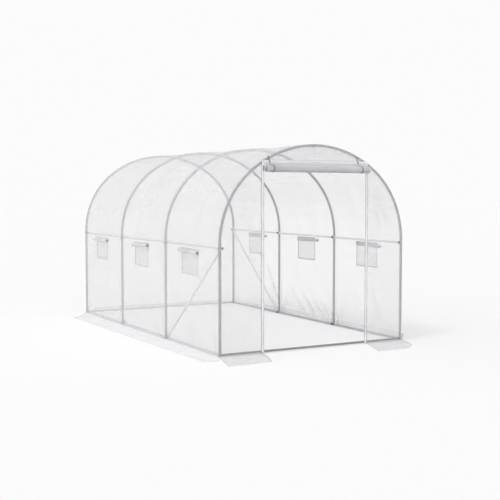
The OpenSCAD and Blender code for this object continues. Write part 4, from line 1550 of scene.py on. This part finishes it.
def smooth_line(points, count):
    """A smooth line of count points through a few given ones."""
    points = np.asarray(points, float)
    padded = np.concatenate([2 * points[:1] - points[1:2], points, 2 * points[-1:] - points[-2:-1]])
    dense = []
    for k in range(1, len(padded) - 2):
        a, b, c, d = padded[k - 1 : k + 3]
        t = np.linspace(0, 1, 24, endpoint=k == len(padded) - 3)[:, None]
        dense.append(0.5 * (2 * b + (c - a) * t + (2 * a - 5 * b + 4 * c - d) * t**2 + (3 * b - a - 3 * c + d) * t**3))
    dense = np.concatenate(dense)
    length = np.concatenate([[0], np.cumsum(np.linalg.norm(np.diff(dense, axis=0), axis=1))])
    at = np.linspace(0, length[-1], count)
    return np.stack([np.interp(at, length, dense[:, k]) for k in range(2)], -1)


def patch(inner, outer, start, end):
    """A grid between four lines: inner and outer run along it, start and end join them."""
    u = np.linspace(0, 1, len(start))[None, :, None]
    v = np.linspace(0, 1, len(inner))[:, None, None]
    across = inner[:, None] * (1 - u) + outer[:, None] * u
    along_it = start[None] * (1 - v) + end[None] * v
    corners = (
        inner[0] * (1 - u) * (1 - v) + outer[0] * u * (1 - v) + inner[-1] * (1 - u) * v + outer[-1] * u * v)
    return across + along_it - corners


class TUNNEL_OT_skirts(bpy.types.Operator):
    """Skirts of film that lie on the ground along the four walls"""

    bl_idname = "tunnel.skirts"
    bl_label = "Ground skirts"

    def execute(self, context):
        settings, film = context.scene.tunnel_skirts, context.scene.tunnel_film
        wall = HALF_W + FILM_OUT
        front = HOOP_Y[0] - FILM_OUT
        back = END_Y + FILM_OUT
        far_x, far_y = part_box("skirt_left")[0].x + 0.001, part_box("skirt_front")[0].y + 0.001
        runs = {
            "skirt_left": dict(
                inner=[(-wall, back), (-wall, front)],
                outer=[
                    (far_x, 1.40), (far_x + 0.012, 1.0), (far_x + 0.022, 0.2), (far_x + 0.04, -0.9),
                    (far_x + 0.055, -1.55), (far_x + 0.058, -1.90)],
                start=[(-wall, back), (-1.13, 1.565), (-1.235, 1.445), (far_x, 1.40)],
                end=[
                    (-wall, front), (-1.07, -1.885), (-1.15, -1.948),
                    (far_x + 0.058, -1.90)], rows=150, columns=17),
            "skirt_right": dict(
                inner=[(wall, back), (wall, front)],
                outer=[
                    (-far_x - 0.01, 1.46), (-far_x, 0.8), (-far_x - 0.015, -0.2), (-far_x - 0.004, -1.0),
                    (-far_x - 0.02, -1.46)],
                start=[(wall, back), (1.14, 1.61), (1.23, 1.50), (-far_x - 0.01, 1.46)],
                end=[
                    (wall, front), (1.14, -1.62), (1.23, -1.51),
                    (-far_x - 0.02, -1.46)], rows=150, columns=17),
            "skirt_front_left": dict(
                inner=[(-wall, front), (-0.575, front)],
                outer=[(-1.145, far_y + 0.006), (-0.93, far_y), (-0.72, far_y + 0.012)],
                start=[(-wall, front), (-1.085, -1.98), (-1.145, far_y + 0.006)],
                end=[(-0.575, front), (-0.62, -1.96), (-0.72, far_y + 0.012)], rows=28, columns=26),
            "skirt_front_right": dict(
                inner=[(0.575, front), (wall, front)],
                outer=[(0.415, far_y + 0.014), (0.58, far_y + 0.002), (0.75, far_y + 0.006)],
                start=[(0.575, front), (0.50, -1.96), (0.415, far_y + 0.014)],
                end=[(wall, front), (0.93, -2.02), (0.75, far_y + 0.006)], rows=28, columns=26),
            "skirt_back": dict(
                inner=[(wall, back), (-wall, back)],
                outer=[
                    (0.72, -far_y), (0.3, -far_y - 0.012), (-0.25, -far_y - 0.004), (-0.72, -far_y - 0.01)],
                start=[(wall, back), (0.885, 1.96), (0.72, -far_y)],
                end=[(-wall, back), (-0.885, 1.96), (-0.72, -far_y - 0.01)], rows=90, columns=24),
        }
        stands_for = {"skirt_front_left": ["skirt_front"], "skirt_front_right": []}
        for k, (name, run) in enumerate(runs.items()):
            flat = patch(
                smooth_line(run["inner"], run["rows"]), smooth_line(run["outer"], run["rows"]),
                smooth_line(run["start"], run["columns"]), smooth_line(run["end"], run["columns"]))
            rows, columns = flat.shape[:2]
            u = np.linspace(0, 1, columns)[None, :] * np.ones((rows, 1))
            v = np.linspace(0, 1, rows)[:, None] * np.ones((1, columns))
            x, y = flat[..., 0], flat[..., 1]
            width = np.linalg.norm(flat[:, -1] - flat[:, 0], axis=1).mean()
            lift = settings.ripple * (
                0.55 + 0.45 * wander(x * 3.2, y * 3.2, 200 + k)) * np.clip(
                    0.4 + 0.6 * wander(x * 7.5, y * 7.5, 210 + k), 0, 1)
            lift = lift * ease(u * width, 0.0, 0.05) * (1 - 0.55 * ease(u, 0.82, 1.0))
            edge = np.minimum(np.minimum(1 - u, v * rows / 8), (1 - v) * rows / 8)
            rise = np.where(u * width < 0.012, 0.014 * (1 - u * width / 0.012) ** 2, 0)
            z = 0.0008 + lift + rise + 0.0009 * (1 - ease(edge * width, 0.010, 0.016))
            # The fold attribute carries painted shade where the ripples bend, and the real doubled hem along the edges
            fold = creasing(z, 0.02, 0.012) + 0.45 * (1 - ease(edge * width, 0.012, 0.017))
            # Front skirts get the darker, more opaque copy of the film, which is painted shade
            skirt = film_mesh(
                f"{name}_film", np.stack([x, y, z], -1),
                material_for("front skirt" if "front" in name else "skirt"), film.thickness, None,
                np.clip(fold, 0, 1))
            fitted(skirt, "skirt_film", *stands_for.get(name, [name]))
        return {"FINISHED"}


# ---- Panel and run ----

OPERATORS = (
    TUNNEL_OT_stage, TUNNEL_OT_hoops, TUNNEL_OT_rails, TUNNEL_OT_hardware, TUNNEL_OT_cover, TUNNEL_OT_ends,
    TUNNEL_OT_doorway, TUNNEL_OT_windows, TUNNEL_OT_skirts)
SETTINGS = {
    "tunnel_tubes": TubeSettings, "tunnel_film": FilmSettings, "tunnel_door": DoorSettings,
    "tunnel_windows": WindowSettings, "tunnel_skirts": SkirtSettings, "tunnel_stage": StageSettings}


class TUNNEL_PT_panel(bpy.types.Panel):
    """The tunnel's settings and operators, in the order that they run"""

    bl_idname = "TUNNEL_PT_panel"
    bl_label = "Polytunnel greenhouse"
    bl_space_type = "VIEW_3D"
    bl_region_type = "UI"
    bl_category = "Polytunnel"

    def draw(self, context):
        for name, group in SETTINGS.items():
            box = self.layout.box()
            for setting in group.__annotations__:
                box.prop(getattr(context.scene, name), setting)
        for operator in OPERATORS:
            self.layout.operator(operator.bl_idname)


def register():
    for name, group in SETTINGS.items():
        bpy.utils.register_class(group)
        setattr(bpy.types.Scene, name, PointerProperty(type=group))
    for one in (*OPERATORS, TUNNEL_PT_panel):
        bpy.utils.register_class(one)


def unregister():
    for one in (TUNNEL_PT_panel, *reversed(OPERATORS)):
        bpy.utils.unregister_class(one)
    for name, group in reversed(SETTINGS.items()):
        delattr(bpy.types.Scene, name)
        bpy.utils.unregister_class(group)


def main():
    register()
    bpy.ops.tunnel.stage()
    bpy.ops.tunnel.hoops()
    bpy.ops.tunnel.rails()
    bpy.ops.tunnel.hardware()
    bpy.ops.tunnel.cover()
    bpy.ops.tunnel.ends()
    bpy.ops.tunnel.doorway()
    bpy.ops.tunnel.windows()
    bpy.ops.tunnel.skirts()


if __name__ == "__main__":
    main()
